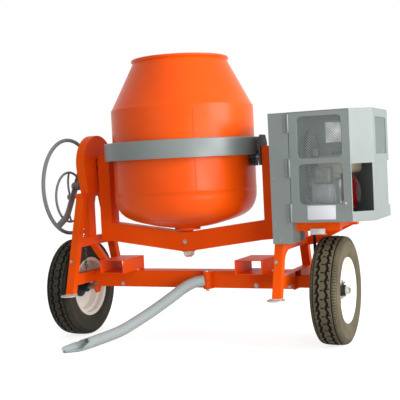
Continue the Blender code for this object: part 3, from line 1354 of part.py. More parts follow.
def make_side_vent():
    """The mesh sheet behind the vent in the cabinet's outer side."""
    rim = 0.010
    side = diamond_sheet("side_vent_mesh", (VENT_FRONT - rim, VENT[0] - rim), (VENT_BACK + rim, VENT[1] + rim), "X",
                         CAB_SIDE_X - SHEET - SEAT - MESH_THICK, CAB_SIDE_X - SHEET - SEAT)
    return paint(side, "light_grey_paint")


def hinge_axis():
    return (COLUMN_RIGHT + DOOR_GAP / 2, CAB_FRONT - HINGE_RADIUS - 0.0006)


def hinges():
    """The knuckles of the door's three hinges, each with its leaf on the column."""
    x, y = hinge_axis()
    made = []
    for low in HINGE_BOTTOMS:
        made.append(rod("barrel", HINGE_RADIUS, "Z", (x, y, 0), low, low + HINGE_LENGTH, 12))
        made.append(box("leaf", (COLUMN_RIGHT - 0.024, CAB_FRONT - 0.0020, low),
                        (x - 0.0005, CAB_FRONT + 0.0005, low + HINGE_LENGTH)))
    return made


# ================================================================ engine
def make_engine_base():
    """Two rails and their ties, which carry the engine and cabinet out from the right stand."""
    start = STAND_RIGHT_X + LEG_WIDTH / 2 + SEAT
    top = CAB_BOTTOM - SEAT
    front = leg_front(BASE_BOTTOM)
    body = box("engine_base", (start, front, BASE_BOTTOM), (BASE_END, front + BASE_RAIL, top))
    rear = box("rear", (start, -front - BASE_RAIL, BASE_BOTTOM), (BASE_END, -front, top))
    body = join(body, *[box("tie", (x, front + 0.001, BASE_BOTTOM + 0.006), (x + 0.04, -front - 0.001, top - 0.001))
                        for x in (0.715, 0.860)], rear)
    low = BRACE_FOOT_Z
    under = BASE_BOTTOM + 0.002
    outline = [(start, low), (start + 0.045, low + 0.007), (BASE_END - 0.020, under), (BASE_END - 0.085, under),
               (start + 0.030, low + 0.062), (start, low + 0.044)]
    rear_leg = -leg_front(low + 0.030)
    body = join(body, plate("brace", [outline], "Y", rear_leg - 0.030, rear_leg - 0.012))
    return paint(body, "orange_paint")


def make_engine():
    floor = CAB_BOTTOM + SHEET + SEAT
    case = box("crankcase", (CRANKCASE_LEFT, CRANK_Y - 0.085, floor),
               (CRANKCASE_RIGHT, CRANK_Y + 0.095, CRANK_Z + 0.078))
    case = rounded(case, 0.012, 2)
    paint(case, "cast_aluminium")
    make_cylinder()
    make_fan_housing()
    make_tank()
    make_muffler()
    make_air_cleaner()


def make_cylinder():
    """The finned cylinder on the crankcase's front, with its head."""
    back = CRANK_Y - 0.085 - SEAT
    low = CRANK_Z - 0.070
    high = CRANK_Z + 0.050
    body = box("engine_cylinder", (0.806, back - 0.078, low + 0.012), (0.884, back, high - 0.012))
    for i in range(6):
        y = back - 0.008 - i * 0.012
        body = join(body, box("fin", (0.792, y - 0.004, low), (0.898, y, high)))
    return paint(body, "cast_aluminium")


def make_fan_housing():
    """Red fan cover with the black recoil starter in its middle."""
    low = CRANKCASE_RIGHT + SEAT
    centre = (0, CRANK_Y, CRANK_Z)
    high = low + FAN_WIDTH
    profile = [(0, high), (FAN_RADIUS - 0.012, high), (FAN_RADIUS, high - 0.012), (FAN_RADIUS, low), (0, low)]
    fan = turned("fan_housing", profile, "X", centre, 28, closed=False)
    smooth(paint(fan, "red_paint"))
    start = high + SEAT
    end = start + RECOIL_DEPTH
    profile = [(0, end), (RECOIL_RADIUS - 0.020, end), (RECOIL_RADIUS, end - 0.012), (RECOIL_RADIUS, start), (0, start)]
    recoil = turned("recoil_starter", profile, "X", centre, 24, closed=False)
    smooth(paint(recoil, "black_plastic"))


def make_tank():
    """Fuel tank above the crankcase with its screw cap."""
    low = TANK_BOTTOM
    top = low + TANK_HEIGHT
    tank = box("fuel_tank", (0.795, CRANK_Y - 0.070, low), (0.985, CRANK_Y + 0.120, top))
    tank = rounded(tank, 0.022, 3)
    foot = CRANK_Z + 0.078 + SEAT
    stay = box("stay", (0.850, CRANK_Y - 0.040, foot), (0.905, CRANK_Y + 0.080, low + 0.004))
    smooth(paint(join(tank, stay), "tan_plastic"))
    cap_low = top + SEAT
    profile = [(0, cap_low + 0.018), (0.026, cap_low + 0.018), (0.030, cap_low + 0.014), (0.030, cap_low), (0, cap_low)]
    cap = turned("fuel_cap", profile, "Z", (0.880, CRANK_Y + 0.020, 0), 16, closed=False)
    return smooth(paint(cap, "black_plastic"))


def make_muffler():
    """Silencer box on the cylinder's upper side."""
    low = CRANK_Z + 0.050 + SEAT
    back = CRANK_Y - 0.085 - SEAT
    body = box("muffler", (0.800, back - 0.075, low), (0.890, back, low + 0.085))
    return smooth(paint(rounded(body, 0.014, 2), "cast_iron"))


def make_air_cleaner():
    """Round air cleaner behind the tank."""
    low = CRANK_Z - 0.030
    front = CRANK_Y + 0.095 + SEAT
    body = box("air_cleaner", (0.800, front, low), (0.900, front + 0.075, low + 0.105))
    return smooth(paint(rounded(body, 0.014, 2), "black_plastic"))


def make_starter_grip():
    """The pull grip of the recoil starter, parked on the fan cover's rim."""
    x = CRANKCASE_RIGHT + SEAT + FAN_WIDTH / 2
    centre = Vector((x, CRANK_Y, CRANK_Z))
    direction = Vector((0.6205, -0.7842, 0)).normalized()
    grip = tube("starter_grip", [(0, 0, -0.028), (0, 0, 0.028)], 0.009, 2)
    neck = rod("neck", 0.005, "X", (0, 0, 0), -0.014, 0.002, 10)
    grip = join(grip, neck)
    turn = direction.to_track_quat("X", "Z").to_matrix().to_4x4()
    place = (x, CRANK_Y - FAN_RADIUS - 0.0144, CRANK_Z)
    grip.data.transform(Matrix.Translation(place) @ turn)
    return smooth(paint(grip, "black_plastic"))


# ================================================================ assembly
PARTS = clear_scene()


def build():
    make_wheel("left", LEFT_WHEEL_X, -1)
    make_wheel("right", RIGHT_WHEEL_X, 1)
    make_axle_nut("left", LEFT_WHEEL_X, -1)
    make_axle_nut("right", RIGHT_WHEEL_X, 1)
    make_axle("left", LEFT_WHEEL_X, -1, BEAM_LEFT, 0.0)
    make_axle("right", RIGHT_WHEEL_X, 1, BEAM_RIGHT, RIGHT_AXLE_REACH)
    make_beam()
    make_hitch_pin()
    make_left_stand()
    make_right_stand()
    make_pocket("left_fork_pocket", LEFT_POCKET_X)
    make_pocket("right_fork_pocket", RIGHT_POCKET_X)
    for side_name, x in (("left", STAND_LEFT_X), ("right", STAND_RIGHT_X)):
        make_foot(side_name + "_front_foot", x, -1)
        make_foot(side_name + "_rear_foot", x, 1)
    hang("drawbar_axis", (HITCH_X, HITCH_Y, BEAM_BOTTOM), [make_drawbar()])

    drum = [make_drum(), make_drum_shaft(), make_drum_nut(), make_ring_gear()]
    drum += [make_blade(1, 5), make_blade(2, 5 + DRUM_STEPS // 2)]
    hang("drum_axis", (0, 0, TILT_Z), drum)
    yoke = [make_yoke(), make_pinion_bearing(), make_tilt_gear()] + make_bands()
    hang("tilt_axis", (0, 0, TILT_Z), yoke)
    hang("countershaft_axis", (0, 0, TILT_Z), [make_bevel_pinion(), make_countershaft(), make_big_pulley()])

    make_tilt_guard()
    make_flange_bearing("tilt_shaft_bearing", TILT_Z, TILT_SHAFT_RADIUS, 0.045)
    make_flange_bearing("handwheel_bearing", HAND_Z, TILT_PINION_SHAFT_RADIUS, 0.032)
    make_right_bearing()
    hang("handwheel_axis", (0, 0, HAND_Z), [make_tilt_pinion(), make_handwheel()])
    hang("lock_axis", bar_point(-LOCK_OFFSET, LOCK_X, LOCK_SIDE), [make_lock_wheel()])

    make_engine_base()
    make_cabinet()
    make_column()
    make_engine()
    hang("engine_pulley_axis", (PULLEY_X, CRANK_Y, CRANK_Z), [make_engine_pulley()])
    make_belt()
    x, y = hinge_axis()
    make_side_vent()
    door = [make_door()] + make_meshes()
    hang("door_axis", (x, y, CAB_BOTTOM), door)
    hang("starter_grip_rest", (0.948, CRANK_Y - FAN_RADIUS, CRANK_Z), [make_starter_grip()])


build()
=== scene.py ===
# %% [markdown]
# # A towable concrete mixer
# The solids of the machine come in as a fixed frame, and this script dresses them: it gives each
# one the finish of the real thing, and puts a finer piece in place of the ones whose form shows,
# such as tyres, the drum and sheet metal. Lengths are metres, X runs along the axle and -Y is the
# front.

# %% The frame
import math

import bmesh
import bpy
from mathutils import Matrix, Vector


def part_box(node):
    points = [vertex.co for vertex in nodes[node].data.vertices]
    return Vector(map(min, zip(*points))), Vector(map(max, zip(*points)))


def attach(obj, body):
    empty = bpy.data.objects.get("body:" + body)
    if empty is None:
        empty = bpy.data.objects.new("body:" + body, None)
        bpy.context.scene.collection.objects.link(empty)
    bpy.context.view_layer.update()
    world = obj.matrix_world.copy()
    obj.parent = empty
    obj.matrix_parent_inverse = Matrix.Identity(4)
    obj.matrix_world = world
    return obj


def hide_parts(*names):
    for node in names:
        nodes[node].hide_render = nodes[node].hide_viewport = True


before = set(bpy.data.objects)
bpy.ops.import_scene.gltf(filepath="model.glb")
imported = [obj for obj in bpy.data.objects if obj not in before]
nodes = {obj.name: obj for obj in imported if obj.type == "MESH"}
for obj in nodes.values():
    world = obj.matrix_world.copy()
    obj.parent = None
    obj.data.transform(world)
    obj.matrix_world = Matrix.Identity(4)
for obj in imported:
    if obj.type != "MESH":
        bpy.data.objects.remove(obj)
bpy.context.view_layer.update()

# %% [markdown]
# ## Colours and nodes
# Paint makers give colours as hex values on the sRGB scale, while a shader works with linear
# light, so one function turns one into the other. A second one adds a node with its settings and
# its links, which keeps each material short enough to read.


# %% Helpers for materials
def linear(hex_colour):
    """An sRGB hex colour as the linear colour that a shader takes."""
    parts = [int(hex_colour[i:i + 2], 16) / 255 for i in (1, 3, 5)]
    light = [c / 12.92 if c <= 0.04045 else ((c + 0.055) / 1.055) ** 2.4 for c in parts]
    return (*light, 1.0)


def add(tree, kind, settings=None, **links):
    """Add a node with its properties; links are sockets or values for inputs, by name or number."""
    node = tree.nodes.new(kind)
    for key, value in (settings or {}).items():
        setattr(node, key, value)
    for key, value in links.items():
        numbered = key[0] == "i" and key[1:].isdigit()
        socket = node.inputs[int(key[1:]) if numbered else key.replace("_", " ")]
        if isinstance(value, bpy.types.NodeSocket):
            tree.links.new(value, socket)
        else:
            socket.default_value = value
    return node


def new_material(name, roughness, metallic=0.0, **sockets):
    """A material with its Principled shader set, and the object's coordinates for patterns."""
    material = bpy.data.materials.new(name)
    material.use_nodes = True
    tree = material.node_tree
    shader = tree.nodes["Principled BSDF"]
    shader.inputs["Roughness"].default_value = roughness
    shader.inputs["Metallic"].default_value = metallic
    for key, value in sockets.items():
        shader.inputs[key.replace("_", " ")].default_value = value
    place = add(tree, "ShaderNodeTexCoord").outputs["Object"]
    return material, tree, shader, place


def two_tones(tree, place, scale, low, high, detail=3.0, spread=(0.35, 0.65)):
    """Noise that drifts between two colours; scale is patterns per metre."""
    noise = add(tree, "ShaderNodeTexNoise", Vector=place, Scale=scale, Detail=detail)
    ramp = add(tree, "ShaderNodeValToRGB", Fac=noise.outputs["Fac"])
    ramp.color_ramp.elements[0].position = spread[0]
    ramp.color_ramp.elements[1].position = spread[1]
    ramp.color_ramp.elements[0].color = linear(low)
    ramp.color_ramp.elements[1].color = linear(high)
    return ramp.outputs["Color"]


def bumpy(tree, shader, height, distance, strength=1.0):
    """Turn a height into a bump on the shader; distance is the real height of the relief."""
    bump = add(tree, "ShaderNodeBump", Height=height, Distance=distance, Strength=strength)
    tree.links.new(bump.outputs["Normal"], shader.inputs["Normal"])


def rough_between(tree, shader, height, low, high):
    """Let the roughness drift between two values with a pattern."""
    spread = add(tree, "ShaderNodeMapRange", Value=height, i3=low, i4=high)
    tree.links.new(spread.outputs["Result"], shader.inputs["Roughness"])


# %% [markdown]
# ## Paint
# The frame and the drum are sprayed with a glossy alkyd enamel. Sprayed enamel is never optically
# flat: it has a soft waviness called orange peel, some 4 mm from crest to crest, and a thin, even
# gloss. The colour itself hardly changes, so only a slow drift of a few percent is added. The grey
# of the cabinet is the same kind of paint with less gloss, on thin sheet that is slightly wavy.


# %% Paints
def enamel(name, low, high, roughness, peel=0.00010, gloss=0.2):
    """Sprayed enamel: slow colour drift, orange peel of 4 mm, and dust that dulls the gloss."""
    material, tree, shader, place = new_material(name, roughness, Specular_IOR_Level=gloss)
    colour = two_tones(tree, place, 3.0, low, high)
    tree.links.new(colour, shader.inputs["Base Color"])
    crests = add(tree, "ShaderNodeTexNoise", Vector=place, Scale=1 / 0.004, Detail=1.0)
    bumpy(tree, shader, crests.outputs["Fac"], peel)
    dust = add(tree, "ShaderNodeTexNoise", Vector=place, Scale=14.0, Detail=4.0)
    rough_between(tree, shader, dust.outputs["Fac"], roughness - 0.05, roughness + 0.09)
    return material


orange_enamel = enamel("orange_alkyd_enamel", "#F35107", "#F95B0A", 0.36, gloss=0.07)
drum_enamel = enamel("orange_drum_enamel", "#F15106", "#F75A09", 0.30, peel=0.00006, gloss=0.20)
grey_enamel = enamel("grey_alkyd_enamel", "#767F7C", "#7F8784", 0.38, gloss=0.70)
dark_grey_enamel = enamel("grey_enamel_on_steel", "#737C7B", "#7B8482", 0.38, gloss=0.70)
wheel_enamel = enamel("grey_enamel_on_rod", "#838988", "#8C9190", 0.45, gloss=0.2)
pale_grey_enamel = enamel("pale_grey_enamel", "#ADB8B8", "#B8C2C1", 0.42, gloss=0.3)
cream_enamel = enamel("cream_wheel_enamel", "#F1EFE4", "#F7F5EC", 0.35)
black_enamel = enamel("black_enamel", "#17181A", "#1F2022", 0.45)
red_enamel = enamel("red_fan_cover_enamel", "#A3131A", "#B5181F", 0.30, gloss=0.4)
# The strands get a lighter grey than the cabinet's paint: painted light, which they catch against the
# dark inside.
strand_light_enamel = enamel("grey_enamel_with_painted_light_on_strands", "#949E9C", "#9FA8A5", 0.50, gloss=0.25)
vent_enamel = enamel("grey_enamel_on_the_vent", "#818B88", "#8A9390", 0.50, gloss=0.20)
white_enamel = enamel("white_plate_enamel", "#D9DADF", "#E2E3E6", 0.45)
print("paints:", len(bpy.data.materials))

# %% [markdown]
# ## Rubber, castings and bright steel
# A tyre is vulcanised rubber filled with carbon black: never black to the eye, but a warm dark
# grey that goes lighter with dust. Castings keep the grain of their sand, about 1.5 mm. Bolts with
# zinc plating are metal with a soft, uneven shine, and a metal's colour is its reflection, so they
# keep the default IOR.


# %% Rubber
def rubber(name, low, high, roughness, grain):
    """Vulcanised rubber with a drift of dust; grain is the size of its surface texture."""
    material, tree, shader, place = new_material(name, roughness, Specular_IOR_Level=0.2)
    colour = two_tones(tree, place, 9.0, low, high, detail=6.0)
    tree.links.new(colour, shader.inputs["Base Color"])
    fine = add(tree, "ShaderNodeTexNoise", Vector=place, Scale=1 / grain, Detail=2.0)
    bumpy(tree, shader, fine.outputs["Fac"], 0.0002)
    rough_between(tree, shader, fine.outputs["Fac"], roughness - 0.08, roughness + 0.08)
    return material


# A darker rubber for the tyres' grooves and cuts: painted shade in those recesses.
groove_shade_rubber = rubber("rubber_with_painted_groove_shade", "#1D1A15", "#26221B", 0.85, 0.003)
tyre_rubber = rubber("vulcanised_tyre_rubber", "#57503F", "#655D4B", 0.78, 0.003)
# The left tyre's darker rubber is painted shade: that tyre stands in shade.
shaded_left_tyre_rubber = rubber("tyre_rubber_with_painted_shade", "#37342D", "#423E35", 0.72, 0.003)
belt_rubber = rubber("belt_rubber", "#1C1C1C", "#262524", 0.80, 0.002)


# %% Metals and plastics
def metal(name, low, high, roughness, grain, relief, metallic=1.0):
    """Bare or plated metal, with the grain of its casting or plating."""
    material, tree, shader, place = new_material(name, roughness, metallic)
    colour = two_tones(tree, place, 40.0, low, high, detail=4.0)
    tree.links.new(colour, shader.inputs["Base Color"])
    sand = add(tree, "ShaderNodeTexNoise", Vector=place, Scale=1 / grain, Detail=3.0)
    bumpy(tree, shader, sand.outputs["Fac"], relief)
    rough_between(tree, shader, sand.outputs["Fac"], roughness - 0.08, roughness + 0.12)
    return material


def plastic(name, low, high, roughness):
    """Injection-moulded plastic with the fine leather-like texture of its mould."""
    material, tree, shader, place = new_material(name, roughness)
    colour = two_tones(tree, place, 12.0, low, high)
    tree.links.new(colour, shader.inputs["Base Color"])
    cells = add(tree, "ShaderNodeTexVoronoi", Vector=place, Scale=1 / 0.0025)
    bumpy(tree, shader, cells.outputs["Distance"], 0.0001)
    return material


zinc_plate = metal("zinc_plated_steel", "#94928C", "#AEACA5", 0.42, 0.002, 0.00005)
pale_zinc = metal("galvanised_steel", "#BEBCB2", "#D3D1C8", 0.50, 0.003, 0.00005, 0.45)
cast_iron = metal("sand_cast_iron", "#4A4A4B", "#58585A", 0.60, 0.0015, 0.0003, 0.8)
die_cast = metal("die_cast_aluminium", "#8E9092", "#A3A5A6", 0.45, 0.0015, 0.0001)
silencer_steel = metal("aluminised_silencer_steel", "#6E6A66", "#8A857F", 0.50, 0.003, 0.0001)
chain_steel = metal("oiled_chain_steel", "#5A5A5A", "#77777A", 0.38, 0.002, 0.00005)
tank_plastic = plastic("tan_polyethylene", "#B5A98E", "#C0B59B", 0.45)
black_plastic = plastic("black_nylon", "#191A1B", "#232425", 0.42)
print("materials:", len(bpy.data.materials))

# %% [markdown]
# ## The finish of the solids
# Every solid gets a finish of its own, also the ones that a finer piece will stand for later.

# %% Finishes for the frame
FINISH = {
    orange_enamel: ["left_axle", "right_axle", "cross_beam", "left_stand", "right_stand",
                    "left_fork_pocket", "right_fork_pocket", "drum_shaft", "yoke",
                    "tilt_gear_guard", "engine_base"],
    drum_enamel: ["drum_shell"],
    grey_enamel: ["cabinet_shell", "column_cover", "cabinet_door", "upper_door_mesh",
                  "lower_door_mesh"],
    dark_grey_enamel: ["front_gear_guard", "rear_gear_guard", "tilt_handwheel", "lock_handwheel"],
    pale_grey_enamel: ["drawbar", "side_vent_mesh"],
    cream_enamel: ["left_rim", "right_rim"],
    black_enamel: ["left_hub", "right_hub"],
    red_enamel: ["fan_housing", "recoil_starter"],
    # The left tyre's darker rubber is painted shade.
    shaded_left_tyre_rubber: ["left_tyre"],
    tyre_rubber: ["right_tyre"],
    belt_rubber: ["drive_belt"],
    zinc_plate: ["hitch_pin", "countershaft", "tilt_pinion"],
    pale_zinc: ["left_axle_nut", "right_axle_nut", "drum_nut", "left_front_foot",
                "left_rear_foot", "right_front_foot", "right_rear_foot"],
    cast_iron: ["ring_gear", "bevel_pinion", "tilt_gear", "pinion_bearing", "tilt_shaft_bearing",
                "handwheel_bearing", "right_bearing", "belt_pulley", "engine_pulley",
                "mixing_blade_1", "mixing_blade_2"],
    die_cast: ["crankcase", "engine_cylinder"],
    silencer_steel: ["muffler"],
    tank_plastic: ["fuel_tank"],
    black_plastic: ["fuel_cap", "air_cleaner", "starter_grip"],
}


def finish_of(name):
    return next(material for material, names in FINISH.items() if name in names)


for name, node in nodes.items():
    node.data.materials.clear()
    node.data.materials.append(finish_of(name))
print("finished solids:", sum(len(names) for names in FINISH.values()))

# %% [markdown]
# ## Camera, ground and light
# The machine was photographed from its right front, a little above axle height, with a long lens.
# The ground and the background are pure white: a plain floor that looks white to the camera and to
# reflections, while it still takes the machine's shadow. The light is that of a wide window on the
# machine's right, which draws the broad streak on the drum. A low lamp at the right front reaches
# what stands under the cabinet, and the surroundings fill the rest.

# %% Camera
LENS_PIXELS, PICTURE_PIXELS, SENSOR_MM = 846.32, 400, 36.0
CAMERA_PLACE = Vector((2.0132, -4.2983, 0.9707))
YAW, PITCH, ROLL = (math.radians(a) for a in (24.1803, 2.3614, -2.7836))
forward = Vector((-math.sin(YAW) * math.cos(PITCH), math.cos(YAW) * math.cos(PITCH),
                  -math.sin(PITCH)))
level = Vector((math.cos(YAW), math.sin(YAW), 0))
upright = level.cross(forward)
right = math.cos(ROLL) * level + math.sin(ROLL) * upright
up = -math.sin(ROLL) * level + math.cos(ROLL) * upright
camera = bpy.data.objects.new("camera", bpy.data.cameras.new("camera"))
bpy.context.scene.collection.objects.link(camera)
camera.data.sensor_width = SENSOR_MM
camera.data.lens = LENS_PIXELS / PICTURE_PIXELS * SENSOR_MM
turned = Matrix((right, up, -forward)).transposed().to_4x4()
camera.matrix_world = Matrix.Translation(CAMERA_PLACE) @ turned
bpy.context.scene.camera = camera
print("lens mm:", round(camera.data.lens, 1))


# %% Ground and light
FLOOR_GREY, FLOOR_GLOW, FLOOR_HALF, DOME_LIGHT = 0.5, 0.80, 12.0, 0.42
WHITE = (1, 1, 1, 1)


def either_ray(tree, one, other):
    """One where a ray is of either of two kinds."""
    return add(tree, "ShaderNodeMath", {"operation": "MAXIMUM"}, i0=one, i1=other).outputs[0]


def white_floor():
    """A floor that glows for the camera, and is plain white in reflections and through glass."""
    material = bpy.data.materials.new("white_studio_floor")
    material.use_nodes = True
    tree = material.node_tree
    shader = tree.nodes["Principled BSDF"]
    shader.inputs["Base Color"].default_value = (FLOOR_GREY, FLOOR_GREY, FLOOR_GREY, 1)
    shader.inputs["Roughness"].default_value = 1.0
    shader.inputs["Specular IOR Level"].default_value = 0.0
    shader.inputs["Emission Color"].default_value = WHITE
    rays = add(tree, "ShaderNodeLightPath").outputs
    glow = add(tree, "ShaderNodeMath", {"operation": "MULTIPLY"}, i0=rays["Is Camera Ray"],
               i1=FLOOR_GLOW)
    tree.links.new(glow.outputs[0], shader.inputs["Emission Strength"])
    bounced = either_ray(tree, rays["Is Glossy Ray"], rays["Is Transmission Ray"])
    white = add(tree, "ShaderNodeEmission", Color=WHITE, Strength=1.0)
    mixed = add(tree, "ShaderNodeMixShader", i0=bounced, i1=shader.outputs[0],
                i2=white.outputs[0])
    tree.links.new(mixed.outputs[0], tree.nodes["Material Output"].inputs["Surface"])
    return material


shape = bmesh.new()
bmesh.ops.create_grid(shape, x_segments=1, y_segments=1, size=FLOOR_HALF)
floor_mesh = bpy.data.meshes.new("floor")
shape.to_mesh(floor_mesh)
shape.free()
floor = bpy.data.objects.new("floor", floor_mesh)
floor.data.materials.append(white_floor())
bpy.context.scene.collection.objects.link(floor)

world = bpy.data.worlds.new("white_surroundings")
world.use_nodes = True
bpy.context.scene.world = world
sky = world.node_tree
dome = add(sky, "ShaderNodeBackground", Color=WHITE, Strength=DOME_LIGHT)
seen = add(sky, "ShaderNodeBackground", Color=WHITE, Strength=1.0)
sky_rays = add(sky, "ShaderNodeLightPath").outputs
bounced = either_ray(sky, sky_rays["Is Glossy Ray"], sky_rays["Is Transmission Ray"])
eye = either_ray(sky, sky_rays["Is Camera Ray"], bounced)
sky_mix = add(sky, "ShaderNodeMixShader", i0=eye, i1=dome.outputs[0], i2=seen.outputs[0])
sky.links.new(sky_mix.outputs[0], sky.nodes["World Output"].inputs["Surface"])


def soft_light(name, place, aim, size, power):
    """A large lamp, wide and high as asked, that points at a place."""
    lamp = bpy.data.objects.new(name, bpy.data.lights.new(name, "AREA"))
    lamp.data.shape = "RECTANGLE"
    lamp.data.size, lamp.data.size_y = size
    lamp.data.energy = power
    lamp.location = place
    lamp.rotation_euler = (Vector(aim) - Vector(place)).to_track_quat("-Z", "Y").to_euler()
    bpy.context.scene.collection.objects.link(lamp)


soft_light("window", (5.0, -0.5, 2.5), (0, 0, 0.8), (3.2, 2.6), 270)
soft_light("low_front_right", (4.4, -3.6, 0.8), (-0.3, 0, 0.35), (2.6, 1.2), 120)
soft_light("front_fill", (-1.0, -6.0, 2.6), (0, 0, 0.8), (4.0, 3.0), 18)
soft_light("top", (0.4, 0.4, 4.6), (0.1, 0, 0.6), (3.0, 3.0), 30)
bpy.context.scene.view_settings.view_transform = "Standard"

# %% [markdown]
# ## From a shape to a piece
# A piece is finished the same way each time: doubles are merged, faces are turned outwards, it is
# shaded smooth with its sharp edges kept, given its paint, and set to ride on a body of the
# machine. Turned pieces start from a few points of their section, which spin draws round an axis.


# %% Helpers for pieces
def to_piece(name, shape, material, body, stands_for=(), degrees=35, recalc=True):
    """Make a finished piece of a bmesh, with its place in its mesh."""
    bmesh.ops.remove_doubles(shape, verts=shape.verts, dist=1e-5)
    if recalc:
        bmesh.ops.recalc_face_normals(shape, faces=shape.faces)
    mesh = bpy.data.meshes.new(name)
    shape.to_mesh(mesh)
    shape.free()
    piece = bpy.data.objects.new(name, mesh)
    bpy.context.scene.collection.objects.link(piece)
    mesh.shade_smooth()
    mesh.set_sharp_from_angle(angle=math.radians(degrees))
    mesh.materials.append(material)
    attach(piece, body)
    if stands_for:
        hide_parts(*stands_for)
    return piece


def spun(shape, section, centre, axis, steps, closed=True):
    """Turn a section of (radius, place along the axis) about an axis of the world."""
    along = {"X": Vector((1, 0, 0)), "Y": Vector((0, 1, 0)), "Z": Vector((0, 0, 1))}[axis]
    out = {"X": Vector((0, 0, 1)), "Y": Vector((1, 0, 0)), "Z": Vector((1, 0, 0))}[axis]
    centre = Vector(centre)
    rim = [shape.verts.new(centre + out * r + along * h) for r, h in section]
    edges = [shape.edges.new(pair) for pair in zip(rim, rim[1:] + (rim[:1] if closed else []))]
    bmesh.ops.spin(shape, geom=rim + edges, cent=centre, axis=along, angle=2 * math.pi,
                   steps=steps, use_merge=True)


def both_sides(half):
    """Half a section of (radius, place across) and its mirror image, as one run of points."""
    return half + [(r, -x) for r, x in reversed(half)]


def round_edges(shape, verts, width):
    """Round the edges that meet at some corners, in two segments."""
    edges = list(dict.fromkeys(e for v in verts for e in v.link_edges))
    bmesh.ops.bevel(shape, geom=edges, offset=width, affect="EDGES", segments=2, profile=0.5,
                    material=-1)


def block(shape, low, high, bevel):
    """A box between two corners, with rounded edges."""
    made = bmesh.ops.create_cube(shape, size=1.0)["verts"]
    bmesh.ops.scale(shape, vec=[b - a for a, b in zip(low, high)], verts=made)
    bmesh.ops.translate(shape, vec=[(a + b) / 2 for a, b in zip(low, high)], verts=made)
    round_edges(shape, made, bevel)


# How an outline's two directions and its thickness lie along X, Y and Z, by its thickness's axis.
AXES = {"X": Matrix(((0, 0, 1), (1, 0, 0), (0, 1, 0))),
        "Y": Matrix(((1, 0, 0), (0, 0, 1), (0, 1, 0))), "Z": Matrix.Identity(3)}


def extruded(shape, outline, axis, low, high, bevel):
    """A flat outline of (Y, Z), (X, Z) or (X, Y) points, made thick along the third axis."""
    turn = AXES[axis]
    corners = [shape.verts.new(turn @ Vector((u, v, low))) for u, v in outline]
    face = shape.faces.new(corners)
    grown = bmesh.ops.extrude_face_region(shape, geom=[face], use_keep_orig=True)
    moved = [v for v in grown["geom"] if isinstance(v, bmesh.types.BMVert)]
    bmesh.ops.translate(shape, vec=turn @ Vector((0, 0, high - low)), verts=moved)
    round_edges(shape, corners + moved, bevel)


def cut(shape, faces, at, normal, clear=True):
    """Cut some faces of a shape by a plane, and clear what lies beyond it."""
    edges = dict.fromkeys(e for f in faces for e in f.edges)
    verts = dict.fromkeys(v for f in faces for v in f.verts)
    bmesh.ops.bisect_plane(shape, geom=[*verts, *edges, *faces], plane_co=at, plane_no=normal,
                           clear_outer=clear)


def bent_ring(shape, centre, major, minor, steps, around=14):
    """A rod bent to a full ring about X and welded, as a handwheel's rim is."""
    angles = [2 * math.pi * i / around for i in range(around)]
    section = [(major + minor * math.cos(a), minor * math.sin(a)) for a in angles]
    spun(shape, section, centre, "X", steps)


def smooth_route(points, rounds=3):
    """Cut the corners of a route again and again, which rounds its bends and keeps its ends."""
    points = [Vector(p) for p in points]
    for _ in range(rounds):
        halfway = [points[0]]
        for a, b in zip(points, points[1:]):
            halfway += [a.lerp(b, 0.25), a.lerp(b, 0.75)]
        points = halfway + [points[-1]]
    return points


def turn_to(direction):
    """The rotation that takes +Z to a direction."""
    return Vector((0, 0, 1)).rotation_difference(Vector(direction)).to_matrix().to_4x4()


def swept_tube(shape, route, radius, around=20, caps=True):
    """A round tube along a route: a circle is extruded from one place to the next."""
    route = [Vector(p) for p in route]
    heading = (route[1] - route[0]).normalized()
    first = bmesh.ops.create_circle(shape, cap_ends=caps, segments=around, radius=radius,
                                    matrix=Matrix.Translation(route[0]) @ turn_to(heading))
    ring = list(dict.fromkeys(e for v in first["verts"] for e in v.link_edges))
    for i in range(1, len(route)):
        ahead = route[min(i + 1, len(route) - 1)] - route[i - 1]
        turn = heading.rotation_difference(ahead.normalized()).to_matrix().to_4x4()
        grown = bmesh.ops.extrude_edge_only(shape, edges=ring)["geom"]
        moved = [v for v in grown if isinstance(v, bmesh.types.BMVert)]
        step = Matrix.Translation(route[i]) @ turn @ Matrix.Translation(-route[i - 1])
        bmesh.ops.transform(shape, matrix=step, verts=moved)
        ring = [e for e in grown
                if isinstance(e, bmesh.types.BMEdge) and all(v in moved for v in e.verts)]
        heading = ahead.normalized()
    if caps:
        bmesh.ops.contextual_create(shape, geom=ring)


WASHER = 0.0016
HEXAGON = 0.577  # how far out a hexagon's corner is, for a width of 1 between its flats


def bolt(shape, place, direction, across, height):
    """A hexagon bolt head on its washer; across is the width of the head."""
    turn = Matrix.Translation(place) @ turn_to(direction)
    bmesh.ops.create_cone(shape, segments=20, radius1=across * 0.92, radius2=across * 0.88,
                          depth=WASHER, cap_ends=True,
                          matrix=turn @ Matrix.Translation((0, 0, WASHER / 2)))
    made = bmesh.ops.create_cone(shape, segments=6, radius1=across * HEXAGON,
                                 radius2=across * HEXAGON, depth=height, cap_ends=True,
                                 matrix=turn @ Matrix.Translation((0, 0, height / 2 + 0.0012)))
    rise = {v: (turn.inverted() @ v.co).z for v in made["verts"]}
    top = max(rise.values()) - 1e-6
    edges = dict.fromkeys(e for v in rise for e in v.link_edges
                          if all(rise[w] > top for w in e.verts))
    bmesh.ops.bevel(shape, geom=list(edges), offset=across * 0.06, affect="EDGES", segments=1,
                    profile=0.5, material=-1)
